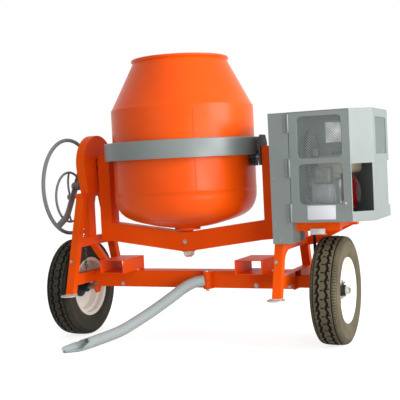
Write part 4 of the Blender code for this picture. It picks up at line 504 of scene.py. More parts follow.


# %% [markdown]
# ## Tyres
# Each tyre is of the kind that light trailers use: four grooves run round its tread, the middle two
# in a zig-zag, the ribs carry short cuts across, and slanting bars stand on the shoulder. The section
# is spun in 240 steps. The edges of the middle grooves are shifted to and fro for the zig-zag, and
# the cuts and the hollows between the bars are single faces that are inset and pushed in. The groove
# bottoms and the cuts get a darker rubber, which is painted shade. The left tyre's rubber is darker
# than the right one's: painted shade, as the left tyre stands in shade.

# %% Tyres
TYRE_RADIUS, BEAD_RADIUS, GROOVE_DEPTH = 0.284, 0.1555, 0.009
TYRE_STEPS, PATTERN = 240, 6
ZIG_ZAG = (-0.0040, -0.0040, -0.0010, 0.0036, 0.0036, 0.0)
CUT_DEPTH, HOLLOW_DEPTH, CUT_EDGE, BAR_LEAN = 0.0050, 0.0035, 0.0007, math.radians(0.7)
WHEELS = (("left", -0.7165, -1), ("right", 0.8395, 1))  # side, middle of the tyre, way outboard


def tyre_section():
    """Closed section of the tyre; (radius, place across), outside first, then the inside."""
    groove = TYRE_RADIUS - GROOVE_DEPTH
    half = [(BEAD_RADIUS, 0.0550), (0.1700, 0.0590), (0.1740, 0.0615), (0.1800, 0.0660),
            (0.1950, 0.0722), (0.2030, 0.0738), (0.2055, 0.0745), (0.2080, 0.0738),
            (0.2260, 0.0735), (0.2440, 0.0715), (0.2460, 0.0725), (0.2560, 0.0700),
            (0.2690, 0.0655), (0.2765, 0.0610), (0.2795, 0.0560), (0.2805, 0.0500),
            (groove, 0.0492), (groove, 0.0452), (0.2815, 0.0444), (0.2825, 0.0380),
            (0.2830, 0.0290), (groove, 0.0275), (groove, 0.0165), (TYRE_RADIUS, 0.0150),
            (TYRE_RADIUS, 0.0080)]
    inside = [(0.2640, 0.040), (0.2300, 0.0640), (0.1950, 0.0600), (BEAD_RADIUS, 0.0420)]
    return both_sides(half) + [(r, -x) for r, x in reversed(inside)] + inside


def make_tyre(side, centre_x):
    """A tyre with its tread; a darker rubber in its grooves and cuts is painted shade."""
    shape = bmesh.new()
    spun(shape, tyre_section(), (centre_x, 0, TYRE_RADIUS), "X", TYRE_STEPS)
    bmesh.ops.remove_doubles(shape, verts=shape.verts, dist=1e-5)
    bmesh.ops.recalc_face_normals(shape, faces=shape.faces)
    middle = Vector((0, 0, TYRE_RADIUS))

    def where(spot):
        turn = math.atan2(spot.z - TYRE_RADIUS, spot.y) / (2 * math.pi) + 1
        return (spot.x - centre_x, math.hypot(spot.y, spot.z - TYRE_RADIUS), turn * TYRE_STEPS)

    cuts, hollows = [], []
    for face in shape.faces:
        across, reach, step = where(face.calc_center_median())
        step = int(step) % TYRE_STEPS
        outer_step = step + (1 if across > 0 else 4)
        if reach > 0.2822 and abs(across) < 0.010 and step % PATTERN == 0:
            cuts.append(face)
        if reach > 0.2815 and 0.030 < abs(across) < 0.037 and outer_step % PATTERN == 0:
            cuts.append(face)
        # The groove bottoms take the darker rubber: painted shade.
        if 0.2700 < reach < 0.2795 and abs(across) < 0.0480:
            face.material_index = 1
        if 0.2560 < reach < 0.2800 and 0.050 < abs(across) < 0.071 and step % 2 == 0:
            hollows.append(face)
    for vert in shape.verts:
        across, reach, step = where(vert.co)
        if reach > 0.2740 and 0.0130 < abs(across) < 0.0300:
            vert.co.x += ZIG_ZAG[round(step) % PATTERN]
        elif 0.2550 < reach < 0.2800 and abs(across) > 0.050:
            lean = Matrix.Rotation(BAR_LEAN * (1 if across > 0 else -1), 3, "X")
            vert.co = lean @ (vert.co - middle) + middle
    # The cuts take the darker rubber too: painted shade.
    for face in cuts:
        face.material_index = 1
    for faces, depth in ((cuts, CUT_DEPTH), (hollows, HOLLOW_DEPTH)):
        bmesh.ops.inset_individual(shape, faces=faces, thickness=CUT_EDGE, depth=-depth,
                                   use_even_offset=True)
    tyre = to_piece(side + "_treaded_tyre", shape, finish_of(side + "_tyre"), side + "_wheel",
                    [side + "_tyre"], recalc=False)
    # The second material is the darker rubber, painted shade in the grooves and cuts.
    tyre.data.materials.append(groove_shade_rubber)
    print(tyre.name, len(tyre.data.polygons), "faces")


for side, centre_x, outboard in WHEELS:
    make_tyre(side, centre_x)

# %% [markdown]
# ## Rims and hubs
# The rim is rolled from steel sheet: two flanges that hold the tyre's beads, a drop centre that
# lets the tyre be mounted, and a flat disc bolted to a black cast hub. It is one section, spun
# smooth. A rubber valve pokes out of the rim's well.

# %% Rims and hubs
DISC_AT, SEAT, WELL = 0.017, 0.1545, 0.1340  # the disc's place across, and two radii of the rim
BOLT_CIRCLE, VALVE_ANGLE = 0.050, math.radians(200)


def rim_section(outboard):
    """Closed section of the rim with rounded flanges and its disc; (radius, place across)."""
    outer = both_sides([
        (0.1690, 0.0645), (0.1715, 0.0640), (0.1725, 0.0615), (0.1710, 0.0588), (0.1660, 0.0578),
        (0.1580, 0.0570), (SEAT, 0.0545), (SEAT - 0.001, 0.0310), (0.1500, 0.0280),
        (0.1400, 0.0245), (0.1380, 0.0215)])
    flange = [(WELL, 0.0240), (0.1360, 0.0270), (0.1450, 0.0300), (0.1495, 0.0335),
              (0.1505, 0.0560), (0.1530, 0.0600), (0.1625, 0.0625)]
    disc = [(WELL, -0.0090), (0.1310, -0.0040), (0.1000, -0.0030), (0.0760, -0.0035),
            (0.0700, 0.0), (0.0345, 0.0), (0.0345, 0.0040), (0.0720, 0.0040), (0.0780, 0.0005),
            (0.1000, 0.0010), (0.1310, 0.0), (0.1338, 0.0030)]
    inner = [(r, -x) for r, x in reversed(flange)] + [(r, DISC_AT + x) for r, x in disc] + flange
    return [(r, x * outboard) for r, x in outer + inner]


def make_rim(side, centre_x, outboard):
    shape = bmesh.new()
    spun(shape, rim_section(outboard), (centre_x, 0, TYRE_RADIUS), "X", 96)
    to_piece(side + "_steel_rim", shape, cream_enamel, side + "_wheel", [side + "_rim"])


def make_hub(side, centre_x, outboard):
    """Cast hub with its bolt flange, and four wheel bolts with their nuts."""
    section = [(0.0180, 0.0520), (0.0265, 0.0520), (0.0290, 0.0495), (0.0300, 0.0380),
               (0.0330, 0.0340), (0.0335, DISC_AT - 0.004), (0.0620, DISC_AT - 0.0045),
               (0.0625, DISC_AT - 0.0110), (0.0500, DISC_AT - 0.0140), (0.0360, DISC_AT - 0.0200),
               (0.0340, -0.0380), (0.0325, -0.0410), (0.0180, -0.0410)]
    shape = bmesh.new()
    spun(shape, [(r, x * outboard) for r, x in section], (centre_x, 0, TYRE_RADIUS), "X", 48)
    to_piece(side + "_cast_hub", shape, black_enamel, side + "_wheel", [side + "_hub"])
    shape = bmesh.new()
    for quarter in range(4):
        angle = math.radians(45 + 90 * quarter)
        place = Vector((centre_x + outboard * (DISC_AT + 0.0042), BOLT_CIRCLE * math.cos(angle),
                        TYRE_RADIUS + BOLT_CIRCLE * math.sin(angle)))
        bolt(shape, place, (outboard, 0, 0), 0.019, 0.010)
        tip = Matrix.Translation(place + Vector((outboard * 0.013, 0, 0)))
        bmesh.ops.create_cone(shape, segments=16, radius1=0.0058, radius2=0.0050, depth=0.008,
                              cap_ends=True, matrix=tip @ turn_to((outboard, 0, 0)))
    to_piece(side + "_wheel_bolts", shape, zinc_plate, side + "_wheel")


def make_valve(side, centre_x, outboard):
    """A snap-in rubber valve with its cap, through the rim's well."""
    out = Vector((0, math.cos(VALVE_ANGLE), math.sin(VALVE_ANGLE)))
    axle_way = Vector((outboard, 0, 0))
    base = Vector((centre_x, 0, TYRE_RADIUS)) + out * (WELL - 0.0010) + axle_way * 0.030
    lean = (axle_way * 0.85 - out * 0.5).normalized()
    shape = bmesh.new()
    for start, length, r1, r2 in ((0.0, 0.012, 0.0075, 0.0048), (0.012, 0.014, 0.0040, 0.0038)):
        turn = Matrix.Translation(base + lean * (start + length / 2)) @ turn_to(lean)
        bmesh.ops.create_cone(shape, segments=16, radius1=r1, radius2=r2, depth=length,
                              cap_ends=True, matrix=turn)
    to_piece(side + "_valve", shape, belt_rubber, side + "_wheel")


for side, centre_x, outboard in WHEELS:
    make_rim(side, centre_x, outboard)
    make_hub(side, centre_x, outboard)
    make_valve(side, centre_x, outboard)

# %% [markdown]
# ## Drum
# The drum is pressed and rolled from 4 mm sheet: a dished bottom, a cylinder and a cone, welded
# together. The welds show as low, narrow beads where the parts meet, and the mouth is stiffened by
# a round rod. All of it is one section, spun in 160 steps; the upright seam of the rolled sheet is
# among the weld beads further below.

# %% Drum
DRUM_RADIUS = 0.396
SEAM_Z, CONE_Z, MOUTH_Z = 0.837, 1.287, 1.5653
MOUTH_RADIUS, LIP = 0.2557, 0.008


def drum_section():
    """The drum's closed section from the middle of the bottom, up inside, and down outside."""
    inner = [(0.0, 0.6300), (0.040, 0.6301), (0.075, 0.6310), (0.126, 0.6375), (0.170, 0.6455),
             (0.216, 0.6575), (0.260, 0.6690), (0.298, 0.6820), (0.326, 0.6945), (0.348, 0.7085),
             (0.364, 0.7230), (0.3755, 0.7400), (0.3840, 0.7590), (0.3890, 0.7790),
             (0.3912, 0.8070), (0.3920, SEAM_Z), (0.3920, CONE_Z - 0.012), (0.3900, CONE_Z),
             (0.3855, CONE_Z + 0.010), (MOUTH_RADIUS + 0.003, MOUTH_Z - 0.024),
             (MOUTH_RADIUS - 0.001, MOUTH_Z - 0.016)]
    lip = []
    for step in range(11):
        angle = math.radians(200 - 24 * step)
        lip.append((MOUTH_RADIUS + LIP + LIP * math.cos(angle),
                    MOUTH_Z - LIP + LIP * math.sin(angle)))
    outer = [(MOUTH_RADIUS + 0.0065, MOUTH_Z - 0.0200), (MOUTH_RADIUS + 0.0085, MOUTH_Z - 0.0240),
             (0.3885, CONE_Z + 0.0120), (0.3925, CONE_Z + 0.0065), (0.3948, CONE_Z + 0.0040),
             (0.3958, CONE_Z), (0.3956, CONE_Z - 0.0050), (DRUM_RADIUS, CONE_Z - 0.0090),
             (DRUM_RADIUS, SEAM_Z + 0.0040), (DRUM_RADIUS + 0.0020, SEAM_Z + 0.0025),
             (DRUM_RADIUS + 0.0026, SEAM_Z), (DRUM_RADIUS + 0.0016, SEAM_Z - 0.0025),
             (DRUM_RADIUS, SEAM_Z - 0.0040), (DRUM_RADIUS - 0.0002, SEAM_Z - 0.0300)]
    bottom = [(0.3945, 0.7905), (0.3905, 0.7730), (0.3850, 0.7560), (0.3775, 0.7395),
              (0.3660, 0.7215), (0.3480, 0.7040), (0.3260, 0.6905), (0.2980, 0.6775),
              (0.2600, 0.6650), (0.2160, 0.6535), (0.1700, 0.6415), (0.1260, 0.6335),
              (0.0750, 0.6270), (0.0, 0.6262)]
    return inner + lip + outer + bottom


shape = bmesh.new()
spun(shape, drum_section(), (0, 0, 0), "Z", 160, closed=False)
drum = to_piece("welded_drum", shape, drum_enamel, "drum", ["drum_shell"], degrees=50)
print("drum faces:", len(drum.data.polygons))

# %% [markdown]
# ## Softened edges
# Plate that has been folded, sawn and painted never ends in a perfect corner. A copy of each plain
# solid is merged and its flat faces are joined again, and then a Bevel of about 1 to 3 mm runs
# along its corners, so that they catch the light.


# %% Softened copies of the solids
def softened(node_name, body, width):
    """A copy of a solid with its corners rounded, standing for that solid."""
    shape = bmesh.new()
    shape.from_mesh(nodes[node_name].data)
    bmesh.ops.remove_doubles(shape, verts=shape.verts, dist=2e-5)
    bmesh.ops.dissolve_limit(shape, angle_limit=math.radians(1.0), verts=shape.verts,
                             edges=shape.edges)
    piece = to_piece("rounded_" + node_name, shape, finish_of(node_name), body, [node_name],
                     degrees=40, recalc=False)
    rounding = piece.modifiers.new("rounding", "BEVEL")
    rounding.width = width
    rounding.segments = 2
    rounding.limit_method = "ANGLE"
    rounding.angle_limit = math.radians(28)
    rounding.use_clamp_overlap = True
    rounding.harden_normals = False


SOFTENED = (("left_stand", "chassis", 0.0030), ("right_stand", "chassis", 0.0030),
            ("cross_beam", "chassis", 0.0030), ("left_axle", "chassis", 0.0020),
            ("right_axle", "chassis", 0.0020), ("left_fork_pocket", "chassis", 0.0015),
            ("right_fork_pocket", "chassis", 0.0015), ("engine_base", "chassis", 0.0020),
            ("yoke", "cradle", 0.0025), ("column_cover", "chassis", 0.0008),
            ("cabinet_door", "door", 0.0010), ("cabinet_shell", "chassis", 0.0010),
            ("tilt_gear_guard", "chassis", 0.0008), ("left_front_foot", "chassis", 0.0008),
            ("left_rear_foot", "chassis", 0.0008), ("right_front_foot", "chassis", 0.0008),
            ("right_rear_foot", "chassis", 0.0008), ("engine_cylinder", "chassis", 0.0015),
            ("pinion_bearing", "cradle", 0.0020), ("right_bearing", "chassis", 0.0030),
            ("tilt_shaft_bearing", "chassis", 0.0020), ("handwheel_bearing", "chassis", 0.0020),
            ("left_axle_nut", "left_wheel", 0.0010), ("right_axle_nut", "right_wheel", 0.0010),
            ("drum_nut", "drum", 0.0010))
for solid in SOFTENED:
    softened(*solid)
for side, centre_x, outboard in WHEELS:
    axle = bpy.data.objects["rounded_" + side + "_axle"]
    axle.data.materials.append(zinc_plate)
    for face in axle.data.polygons:
        if outboard * (face.center.x - centre_x) > -0.070:
            face.material_index = 1

# %% [markdown]
# ## Tow tube
# The machine is towed by one bent steel tube, painted pale grey. Its foot end is cut open like a
# scoop that lies over to one side: a slanting mouth, two long, low slopes and a pointed tip, so
# the wall and the dark inside show. A circle is extruded along a rounded route, five planes cut
# the scoop, and the sheet then gets its wall. The bush that it turns on is painted with the frame.

# %% Tow tube
HITCH = Vector((0.140, -0.082, 0.339))
TOW_RADIUS, TOW_WALL = 0.030, 0.0040
HEADING = math.radians(57.7)
TOW_ROUTE = [(0.018, 0.3390), (0.060, 0.3350), (0.100, 0.3220), (0.140, 0.3000), (0.180, 0.2720),
             (0.300, 0.1950), (0.420, 0.1280), (0.470, 0.1020), (0.520, 0.0830), (0.600, 0.0600),
             (0.670, 0.0410), (0.705, 0.0330), (0.740, TOW_RADIUS), (0.840, TOW_RADIUS)]
TOW_AHEAD = Vector((-math.sin(HEADING), -math.cos(HEADING), 0))
# Each cut is a place along the tube, a height, and a normal's shares along, upward and sideways.
MOUTH = (0.7175, 0.0380, (1.0, 0.97, 1.08))
SLOPES = ((0.7304, 0.0358, (0.116, 1.0, 0.80)), (0.7234, 0.0545, (0.34, 1.0, 0.0)))
TIP = ((0.8088, 0.0165, (1.0, 0.78, 0.0)), (0.8088, 0.0165, (1.0, -1.04, 0.0)))


def tow_point(distance, height):
    return HITCH + TOW_AHEAD * distance + Vector((0, 0, height - HITCH.z))


def tow_plane(distance, height, shares):
    """A place on a cut and the cut's outward normal; sideways is to the tube's left."""
    along, upward, sideways = shares
    left = -TOW_AHEAD.cross((0, 0, 1))
    normal = TOW_AHEAD * along + Vector((0, 0, upward)) + left * sideways
    return tow_point(distance, height), normal.normalized()


shape = bmesh.new()
route = smooth_route([tow_point(*place) for place in TOW_ROUTE], 2)
swept_tube(shape, route, TOW_RADIUS, 32, caps=False)
mouth_at, mouth = tow_plane(*MOUTH)
cut(shape, shape.faces[:], mouth_at, mouth, clear=False)
for slope in SLOPES:
    ahead = [f for f in shape.faces if (f.calc_center_median() - mouth_at).dot(mouth) > 0]
    cut(shape, ahead, *tow_plane(*slope))
for side in TIP:
    cut(shape, shape.faces[:], *tow_plane(*side))
bmesh.ops.recalc_face_normals(shape, faces=shape.faces)
if max(shape.faces, key=lambda f: f.calc_center_median().z).normal.z < 0:
    bmesh.ops.reverse_faces(shape, faces=shape.faces)
tow = to_piece("bent_tow_tube", shape, pale_grey_enamel, "drawbar", ["drawbar"], recalc=False)
wall = tow.modifiers.new("wall", "SOLIDIFY")
wall.thickness = TOW_WALL
wall.offset = -1.0
shape = bmesh.new()
spun(shape, [(0.0095, -0.0410), (0.0200, -0.0410), (0.0220, -0.0390), (0.0220, 0.0390),
             (0.0200, 0.0410), (0.0095, 0.0410)], HITCH, "Z", 40)
to_piece("hitch_bush", shape, orange_enamel, "drawbar")
print("tow tube faces:", len(tow.data.polygons))

# %% [markdown]
# ## Handwheels
# Both wheels are round rod bent to a ring. The large one is carried by one broad flat bar, dished
# so that its middle clears the ring, with a hub welded on; the small one, which clamps the tilt,
# has a bowed rod for its spokes. The bar's side view is extruded to its width and its edges are
# rounded.

# %% Handwheels
HAND_Z, HAND_X, HAND_HUB_X = 0.880, -0.7626, -0.722
HAND_RADIUS, HAND_ROD = 0.276, 0.011
BAR_ANGLE, BAR_WIDTH, BAR_THICK, BAR_BEND = math.radians(57.0), 0.050, 0.006, 0.200
LOCK_X, LOCK_RADIUS, LOCK_ROD = -0.750, 0.146, 0.007
LOCK_PLACE = Vector((LOCK_X, -0.025882, 0.818112))

shape = bmesh.new()
bent_ring(shape, (HAND_X, 0, HAND_Z), HAND_RADIUS, HAND_ROD, steps=128)
to_piece("tilt_wheel_ring", shape, wheel_enamel, "handwheel", ["tilt_handwheel"], degrees=60)
reach, bend, half = HAND_RADIUS - 0.006, BAR_BEND, BAR_THICK / 2
side_view = [(-reach, HAND_X), (-bend - 0.012, HAND_HUB_X - 0.004), (-bend + 0.012, HAND_HUB_X),
             (bend - 0.012, HAND_HUB_X), (bend + 0.012, HAND_HUB_X - 0.004), (reach, HAND_X)]
outline = [(x - half, z) for z, x in side_view]
outline += [(x + half, z) for z, x in reversed(side_view)]
shape = bmesh.new()
extruded(shape, outline, "Y", -BAR_WIDTH / 2, BAR_WIDTH / 2, 0.0015)
lean = Matrix.Rotation(-(math.pi / 2 - BAR_ANGLE), 4, "X")
bmesh.ops.transform(shape, matrix=Matrix.Translation((0, 0, HAND_Z)) @ lean, verts=shape.verts)
spun(shape, [(0.0130, -0.018), (0.0220, -0.018), (0.0240, -0.015), (0.0240, 0.027),
             (0.0220, 0.030), (0.0130, 0.030)], (HAND_HUB_X, 0, HAND_Z), "X", 40)
to_piece("tilt_wheel_bar", shape, wheel_enamel, "handwheel")

shape = bmesh.new()
bent_ring(shape, LOCK_PLACE, LOCK_RADIUS, LOCK_ROD, steps=96, around=12)
for end in (1, -1):
    rod = [LOCK_PLACE + Vector(offset) for offset in
           ((0, 0, 0.010 * end), (-0.010, 0.004 * end, 0.045 * end),
            (-0.012, 0.004 * end, 0.095 * end), (0, 0, (LOCK_RADIUS - 0.002) * end))]
    swept_tube(shape, smooth_route(rod), 0.0062, 12)
spun(shape, [(0.0, -0.012), (0.0140, -0.012), (0.0160, -0.010), (0.0160, 0.012), (0.0140, 0.014),
             (0.0080, 0.014), (0.0080, 0.045), (0.0, 0.045)], LOCK_PLACE, "X", 32, closed=False)
to_piece("tilt_lock_wheel", shape, wheel_enamel, "lock_wheel", ["lock_handwheel"], degrees=50)
print("lock wheel at", [round(c, 3) for c in LOCK_PLACE])

# %% [markdown]
# ## Gear guard
# The ring gear runs inside a guard of rolled grey sheet: a band with its upper edge turned
# inwards, in two halves. A section is spun through each half. At the right end the band is cut
# back below the pinion's shaft, so the last few degrees are spun from a shorter section.

# %% Gear guard
GUARD_RADIUS, GUARD_LOW, GUARD_HIGH, GUARD_LIP, SHEET = 0.4430, 1.0133, 1.1098, 0.028, 0.002
GUARD_BEND = 0.006
SHAFT_TOP = 1.032


def guard_section(low):
    inner = GUARD_RADIUS - SHEET
    bend = []
    for radius, start, turns in ((GUARD_BEND, GUARD_RADIUS, (0, 30, 60, 90)),
                                 (GUARD_BEND - SHEET, inner, (90, 60, 30, 0))):
        bend.append([(start - radius + radius * math.cos(math.radians(a)),
                      GUARD_HIGH - GUARD_BEND + radius * math.sin(math.radians(a)))
                     for a in turns])
    lip = GUARD_RADIUS - GUARD_LIP
    return [(GUARD_RADIUS, low), *bend[0], (lip, GUARD_HIGH), (lip, GUARD_HIGH - SHEET), *bend[1],
            (inner, low)]


def part_ring(shape, section, first, last, steps):
    """A section turned about the drum's axis from one angle to another, with its ends closed."""
    ahead = Vector((math.cos(first), math.sin(first), 0))
    rim = [shape.verts.new(ahead * r + Vector((0, 0, h))) for r, h in section]
    start = shape.faces.new(rim)
    bmesh.ops.spin(shape, geom=[start, *start.edges, *rim], cent=(0, 0, 0), axis=(0, 0, 1),
                   angle=last - first, steps=steps, use_duplicate=False)


for half, way in (("front", -1), ("rear", 1)):
    shape = bmesh.new()
    for low, first, last, steps in ((GUARD_LOW, 3.8, 179.0, 88), (SHAFT_TOP, 0.5, 3.8, 3)):
        part_ring(shape, guard_section(low), way * math.radians(first), way * math.radians(last),
                  steps)
    low_y, high_y = sorted((way * 0.012, way * 0.040))
    block(shape, (-0.4622, low_y, 1.0213), (-GUARD_RADIUS + 0.003, high_y, 1.0500), 0.0015)
    guard = to_piece(half + "_rolled_guard", shape, dark_grey_enamel, "cradle",
                     [half + "_gear_guard"])
    print(guard.name, len(guard.data.polygons), "faces")

# %% [markdown]
# ## Expanded metal
# The windows of the cabinet are backed by expanded metal: sheet that is slit and pulled into a net
# of small diamonds, drawn 12 mm wide here so that they still show from the camera. A grid is
# turned by 45 degrees, cut to the opening, and its edges are given the strands' thickness. The
# rear window has a heavier net, and a surround of sheet narrows it.

# %% Expanded metal
CELL, STRAND, REAR_STRAND = 0.0125, 0.0031, 0.0046
REAR_WINDOW = ((0.737, 0.1350, 0.977), (0.993, 0.1370, 1.173))
SURROUND_FRONT, SURROUND_BACK = 0.1330, 0.1348


def expanded_metal(name, body, material, box, strand, replaced=()):
    """A net of diamonds that fills a flat box."""
    low, high = (Vector(corner) for corner in box)
    size = high - low
    flat = min(range(3), key=lambda i: size[i])
    width, height = (size[i] for i in range(3) if i != flat)
    reach = math.hypot(width, height) / 2
    count = int(2 * reach / (CELL / math.sqrt(2)))
    shape = bmesh.new()
    bmesh.ops.create_grid(shape, x_segments=count, y_segments=count, size=reach)
    bmesh.ops.rotate(shape, cent=(0, 0, 0), matrix=Matrix.Rotation(math.radians(45), 3, "Z"),
                     verts=shape.verts)
    for side, far in (((1, 0, 0), width / 2), ((-1, 0, 0), width / 2), ((0, 1, 0), height / 2),
                      ((0, -1, 0), height / 2)):
        cut(shape, shape.faces[:], Vector(side) * far, side)
    bmesh.ops.wireframe(shape, faces=shape.faces, thickness=strand, offset=0.0, use_replace=True,
                        use_boundary=True, use_even_offset=False)
    bmesh.ops.scale(shape, vec=(1, 1, 0.9 * size[flat] / strand), verts=shape.verts)
    turn = Matrix.Translation((low + high) / 2) @ AXES["XYZ"[flat]].to_4x4()
    bmesh.ops.transform(shape, matrix=turn, verts=shape.verts)
    sheet = to_piece(name, shape, material, body, replaced, degrees=30)
    print(name, len(sheet.data.polygons), "faces")


# The door's nets and the rear net take the lighter grey: painted light on the strands.
for name, node_name, body, material in (
        ("upper_expanded_metal", "upper_door_mesh", "door", strand_light_enamel),
        ("lower_expanded_metal", "lower_door_mesh", "door", strand_light_enamel),
        ("side_expanded_metal", "side_vent_mesh", "chassis", vent_enamel)):
    expanded_metal(name, body, material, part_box(node_name), STRAND, [node_name])
expanded_metal("rear_expanded_metal", "chassis", strand_light_enamel, REAR_WINDOW, REAR_STRAND)

shape = bmesh.new()
for x1, z1, x2, z2 in ((0.730, 0.970, 0.7796, 1.178), (0.730, 0.970, 1.000, 1.0568),
                       (0.950, 0.970, 1.000, 1.178)):
    block(shape, (x1, SURROUND_FRONT, z1), (x2, SURROUND_BACK, z2), 0.0003)
to_piece("rear_window_surround", shape, grey_enamel, "chassis")

# %% [markdown]
# ## Bolts, screws and the door's fittings
# The frame is held together with zinc-plated hexagon bolts, and the sheet with small pan-head
# screws. The door hangs on three upright pins. It has a blank white plate, held by four rivets,
# and a round latch at its free edge.

# %% Bolts and fittings
FRONT, RIGHT_SIDE = (0, -1, 0), (1, 0, 0)
BEAM_FACE, SHEET_FACE = -0.0480, -0.2800
LEG_FOOT, LEG_LOW, LEG_SLOPE = 0.302, 0.282, 0.3013
HINGES, HINGE_HEIGHT, HINGE_X = (0.664, 0.886, 1.108), 0.093, 0.7048
CORNER = Vector((0.0774, -0.0978, 0)).normalized()


def leg_front(z):
    """How far in front of the middle a leg's front face is at a height."""
    return -(LEG_FOOT - LEG_SLOPE * (z - LEG_LOW))


shape = bmesh.new()
for x in (-0.590, -0.407, 0.413, 0.600):
    bolt(shape, Vector((x, BEAM_FACE, 0.309)), FRONT, 0.014, 0.006)
for x in (-0.470, -0.317, 0.350, 0.500):
    bolt(shape, Vector((x, -0.030, 0.3862)), (0, 0, 1), 0.013, 0.006)
leg_normal = Vector((0, -1, LEG_SLOPE)).normalized()
for side in (-0.611, 0.611):
    bolt(shape, Vector((side - 0.010, leg_front(0.459), 0.459)), leg_normal, 0.010, 0.005)
for x, z in ((-0.619, 0.575), (-0.619, 0.800)):
    bolt(shape, Vector((x, -0.0800, z)), FRONT, 0.015, 0.006)
for y, z in ((-0.030, 0.980), (0.030, 0.980), (-0.030, 1.034), (0.030, 1.034)):
    bolt(shape, Vector((-0.6355, y, z)), (-1, 0, 0), 0.011, 0.005)
for y in (-0.085, 0.085):
    bolt(shape, Vector((0.611, y, 0.8560)), (0, 0, 1), 0.017, 0.008)
to_piece("frame_bolts", shape, zinc_plate, "chassis")

shape = bmesh.new()
for z in (0.970, 1.000, 1.060, 1.098):
    for y in (-0.046, 0.046):
        if abs(z - 1.0) > 0.02 or abs(y) > 0.04:
            bolt(shape, Vector((0.4617, y, z)), (-1, 0, 0), 0.010, 0.004)
bolt(shape, Vector((0.0, -0.0450, 0.5500)), FRONT, 0.014, 0.006)
to_piece("cradle_bolts", shape, zinc_plate, "cradle")


def pan_screw(shape, place, direction, radius):
    """The head of a small screw or rivet, which is a low dome."""
    turn = Matrix.Translation(place) @ turn_to(direction)
    made = bmesh.ops.create_uvsphere(shape, u_segments=14, v_segments=8, radius=radius,
                                     matrix=turn)
    squeeze = turn @ Matrix.Diagonal((1, 1, 0.5, 1)) @ turn.inverted()
    bmesh.ops.transform(shape, matrix=squeeze, verts=made["verts"])


shape = bmesh.new()
for low in HINGES:
    for step in (0.014, 0.079):
        pan_screw(shape, Vector((0.689, SHEET_FACE - 0.0020, low + step)), FRONT, 0.0032)
for x, z in ((0.6125, 1.111), (0.616, 0.657), (0.6125, 0.884), (0.640, 0.575)):
    pan_screw(shape, Vector((x, SHEET_FACE, z)), FRONT, 0.0038)
for z in (0.675, 1.196):
    for x, y in ((1.022, -0.2712), (1.098, -0.2110)):
        pan_screw(shape, Vector((x, y, z)), CORNER, 0.0030)
    for y in (-0.190, 0.128):
        pan_screw(shape, Vector((1.1087, y, z)), RIGHT_SIDE, 0.0030)
to_piece("cabinet_screws", shape, zinc_plate, "chassis")

shape = bmesh.new()
for low in HINGES:
    high = low + HINGE_HEIGHT
    spun(shape, [(0.0, low), (0.0040, low), (0.0048, low + 0.0012), (0.0048, high - 0.0012),
                 (0.0040, high), (0.0, high)], (HINGE_X, SHEET_FACE - 0.0030, 0), "Z", 20,
         closed=False)
to_piece("hinge_pins", shape, zinc_plate, "chassis")
shape = bmesh.new()
block(shape, (0.787, SHEET_FACE - 0.0012, 0.675), (0.929, SHEET_FACE + 0.0002, 0.744), 0.0004)
to_piece("blank_plate", shape, white_enamel, "door")
shape = bmesh.new()
for x in (0.793, 0.923):
    for z in (0.681, 0.738):
        pan_screw(shape, Vector((x, SHEET_FACE - 0.0012, z)), FRONT, 0.0022)
to_piece("plate_rivets", shape, zinc_plate, "door")
shape = bmesh.new()
spun(shape, [(0.0, -0.0070), (0.0050, -0.0070), (0.0070, -0.0055), (0.0078, -0.0030),
             (0.0100, -0.0022), (0.0105, 0.0), (0.0, 0.0)], (0.978, SHEET_FACE, 0.752), "Y", 32,
     closed=False)
block(shape, (0.9768, SHEET_FACE - 0.0095, 0.7465), (0.9792, SHEET_FACE - 0.0065, 0.7575),
      0.0006)
to_piece("door_latch", shape, zinc_plate, "door")

# %% [markdown]
# ## Recoil starter, column foot and chain
# The fan cover and its starter are pressed in red sheet; the starter's middle is a black hub
# behind a ring of slots that let the cooling air in. The slots are thin black slabs on the cover:
# painted shade for the dark inside the openings. The column's side sheet runs on below the engine's
# rail, where it covers the stand. A bracket is bolted under that rail and a drain hose hangs behind
# it. A chain of 19 welded links hangs at the left stand.

# %% Starter, column foot and chain
SLOTS, RAIL_LOW, HOSE_X = 14, 0.6202, 0.7335
LINKS, LINK_PITCH, LINK_ROD = 19, 0.0155, 0.0019
CHAIN_X, CHAIN_Y, CHAIN_TOP = -0.6455, -0.060, 0.676
low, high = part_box("recoil_starter")
starter_middle = Vector((high[0], (low[1] + high[1]) / 2, (low[2] + high[2]) / 2))
shape = bmesh.new()
spun(shape, [(0.0, 0.0040), (0.0220, 0.0036), (0.0290, 0.0020), (0.0310, -0.0010),
             (0.0310, -0.0040), (0.0, -0.0040)], starter_middle, "X", 40, closed=False)
# Each slot is a thin black slab: painted shade for the dark inside the opening.
slot_shade = Matrix.Translation((0.0002, 0, 0.0425)) @ Matrix.Diagonal((0.0012, 0.0060, 0.0150, 1))
for number in range(SLOTS):
    turn = Matrix.Rotation(2 * math.pi * number / SLOTS, 4, "X")
    bmesh.ops.create_cube(shape, size=1.0, matrix=Matrix.Translation(starter_middle) @ turn @ slot_shade)
to_piece("starter_hub_and_slot_shades", shape, black_plastic, "chassis", degrees=40)
shape = bmesh.new()
block(shape, (0.7008, -0.2795, 0.5562), (0.7026, -0.0665, 0.6128), 0.0004)
to_piece("column_foot_sheet", shape, grey_enamel, "chassis")
shape = bmesh.new()
block(shape, (0.782, -0.232, RAIL_LOW - 0.024), (0.858, -0.229, RAIL_LOW + 0.006), 0.0005)
block(shape, (0.782, -0.232, RAIL_LOW - 0.024), (0.858, -0.205, RAIL_LOW - 0.0215), 0.0005)
bolt(shape, Vector((0.818, -0.232, RAIL_LOW - 0.012)), FRONT, 0.011, 0.004)
to_piece("rail_bracket", shape, pale_zinc, "chassis")
shape = bmesh.new()
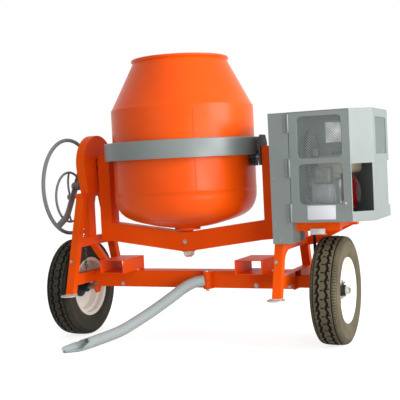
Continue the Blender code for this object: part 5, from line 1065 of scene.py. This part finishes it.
swept_tube(shape, [(HOSE_X, 0.0, z) for z in (RAIL_LOW + 0.030, 0.600, 0.468)], 0.0080, 16)
to_piece("oil_drain_hose", shape, belt_rubber, "chassis")
shape = bmesh.new()
for number in range(LINKS):
    ring = bmesh.new()
    bent_ring(ring, (0, 0, 0), 0.0068, LINK_ROD, steps=20, around=8)
    bmesh.ops.scale(ring, vec=(1, 1, 1.45), verts=ring.verts)
    turn = Matrix.Rotation(math.radians(90 * (number % 2) + 20), 4, "Z")
    place = Matrix.Translation((CHAIN_X, CHAIN_Y + 0.0002 * number,
                                CHAIN_TOP - LINK_PITCH * number))
    bmesh.ops.transform(ring, matrix=place @ turn, verts=ring.verts)
    link = bpy.data.meshes.new("link")
    ring.to_mesh(link)
    ring.free()
    shape.from_mesh(link)
    bpy.data.meshes.remove(link)
hook = [(-0.6250, -0.010, CHAIN_TOP + 0.020), (CHAIN_X, -0.030, CHAIN_TOP + 0.020),
        (CHAIN_X, CHAIN_Y, CHAIN_TOP + 0.018), (CHAIN_X, CHAIN_Y, CHAIN_TOP + 0.006)]
swept_tube(shape, smooth_route(hook, 2), 0.0025, 10)
to_piece("hanging_chain", shape, chain_steel, "chassis", degrees=60)
print("chain ends at z", round(CHAIN_TOP - (LINKS - 1) * LINK_PITCH, 3))

# %% [markdown]
# ## Weld beads
# The drum's sheet was rolled and welded, and the beads are ground down but still show: one upright
# seam, and low ripples where each bead of weld froze. A rod of 5 mm is swept along the seam with
# ripples, half sunk in the sheet, and a low ridge is spun round the drum above its bottom.

# %% Weld beads
shape = bmesh.new()
seam = math.radians(-57.0)
low, high, ripple = 0.846, 1.272, 0.004
ahead = Vector((math.cos(seam), math.sin(seam), 0))
places = [ahead * (0.3956 + 0.0003 * math.sin(2.1 * i)) + Vector((0, 0, low + ripple * i))
          for i in range(int((high - low) / ripple))]
swept_tube(shape, places, 0.0026, 8)
spun(shape, [(0.3930, 0.7985), (0.3945, 0.8010), (0.3925, 0.8035)], (0, 0, 0), "Z", 160)
to_piece("drum_weld_beads", shape, drum_enamel, "drum", degrees=60)
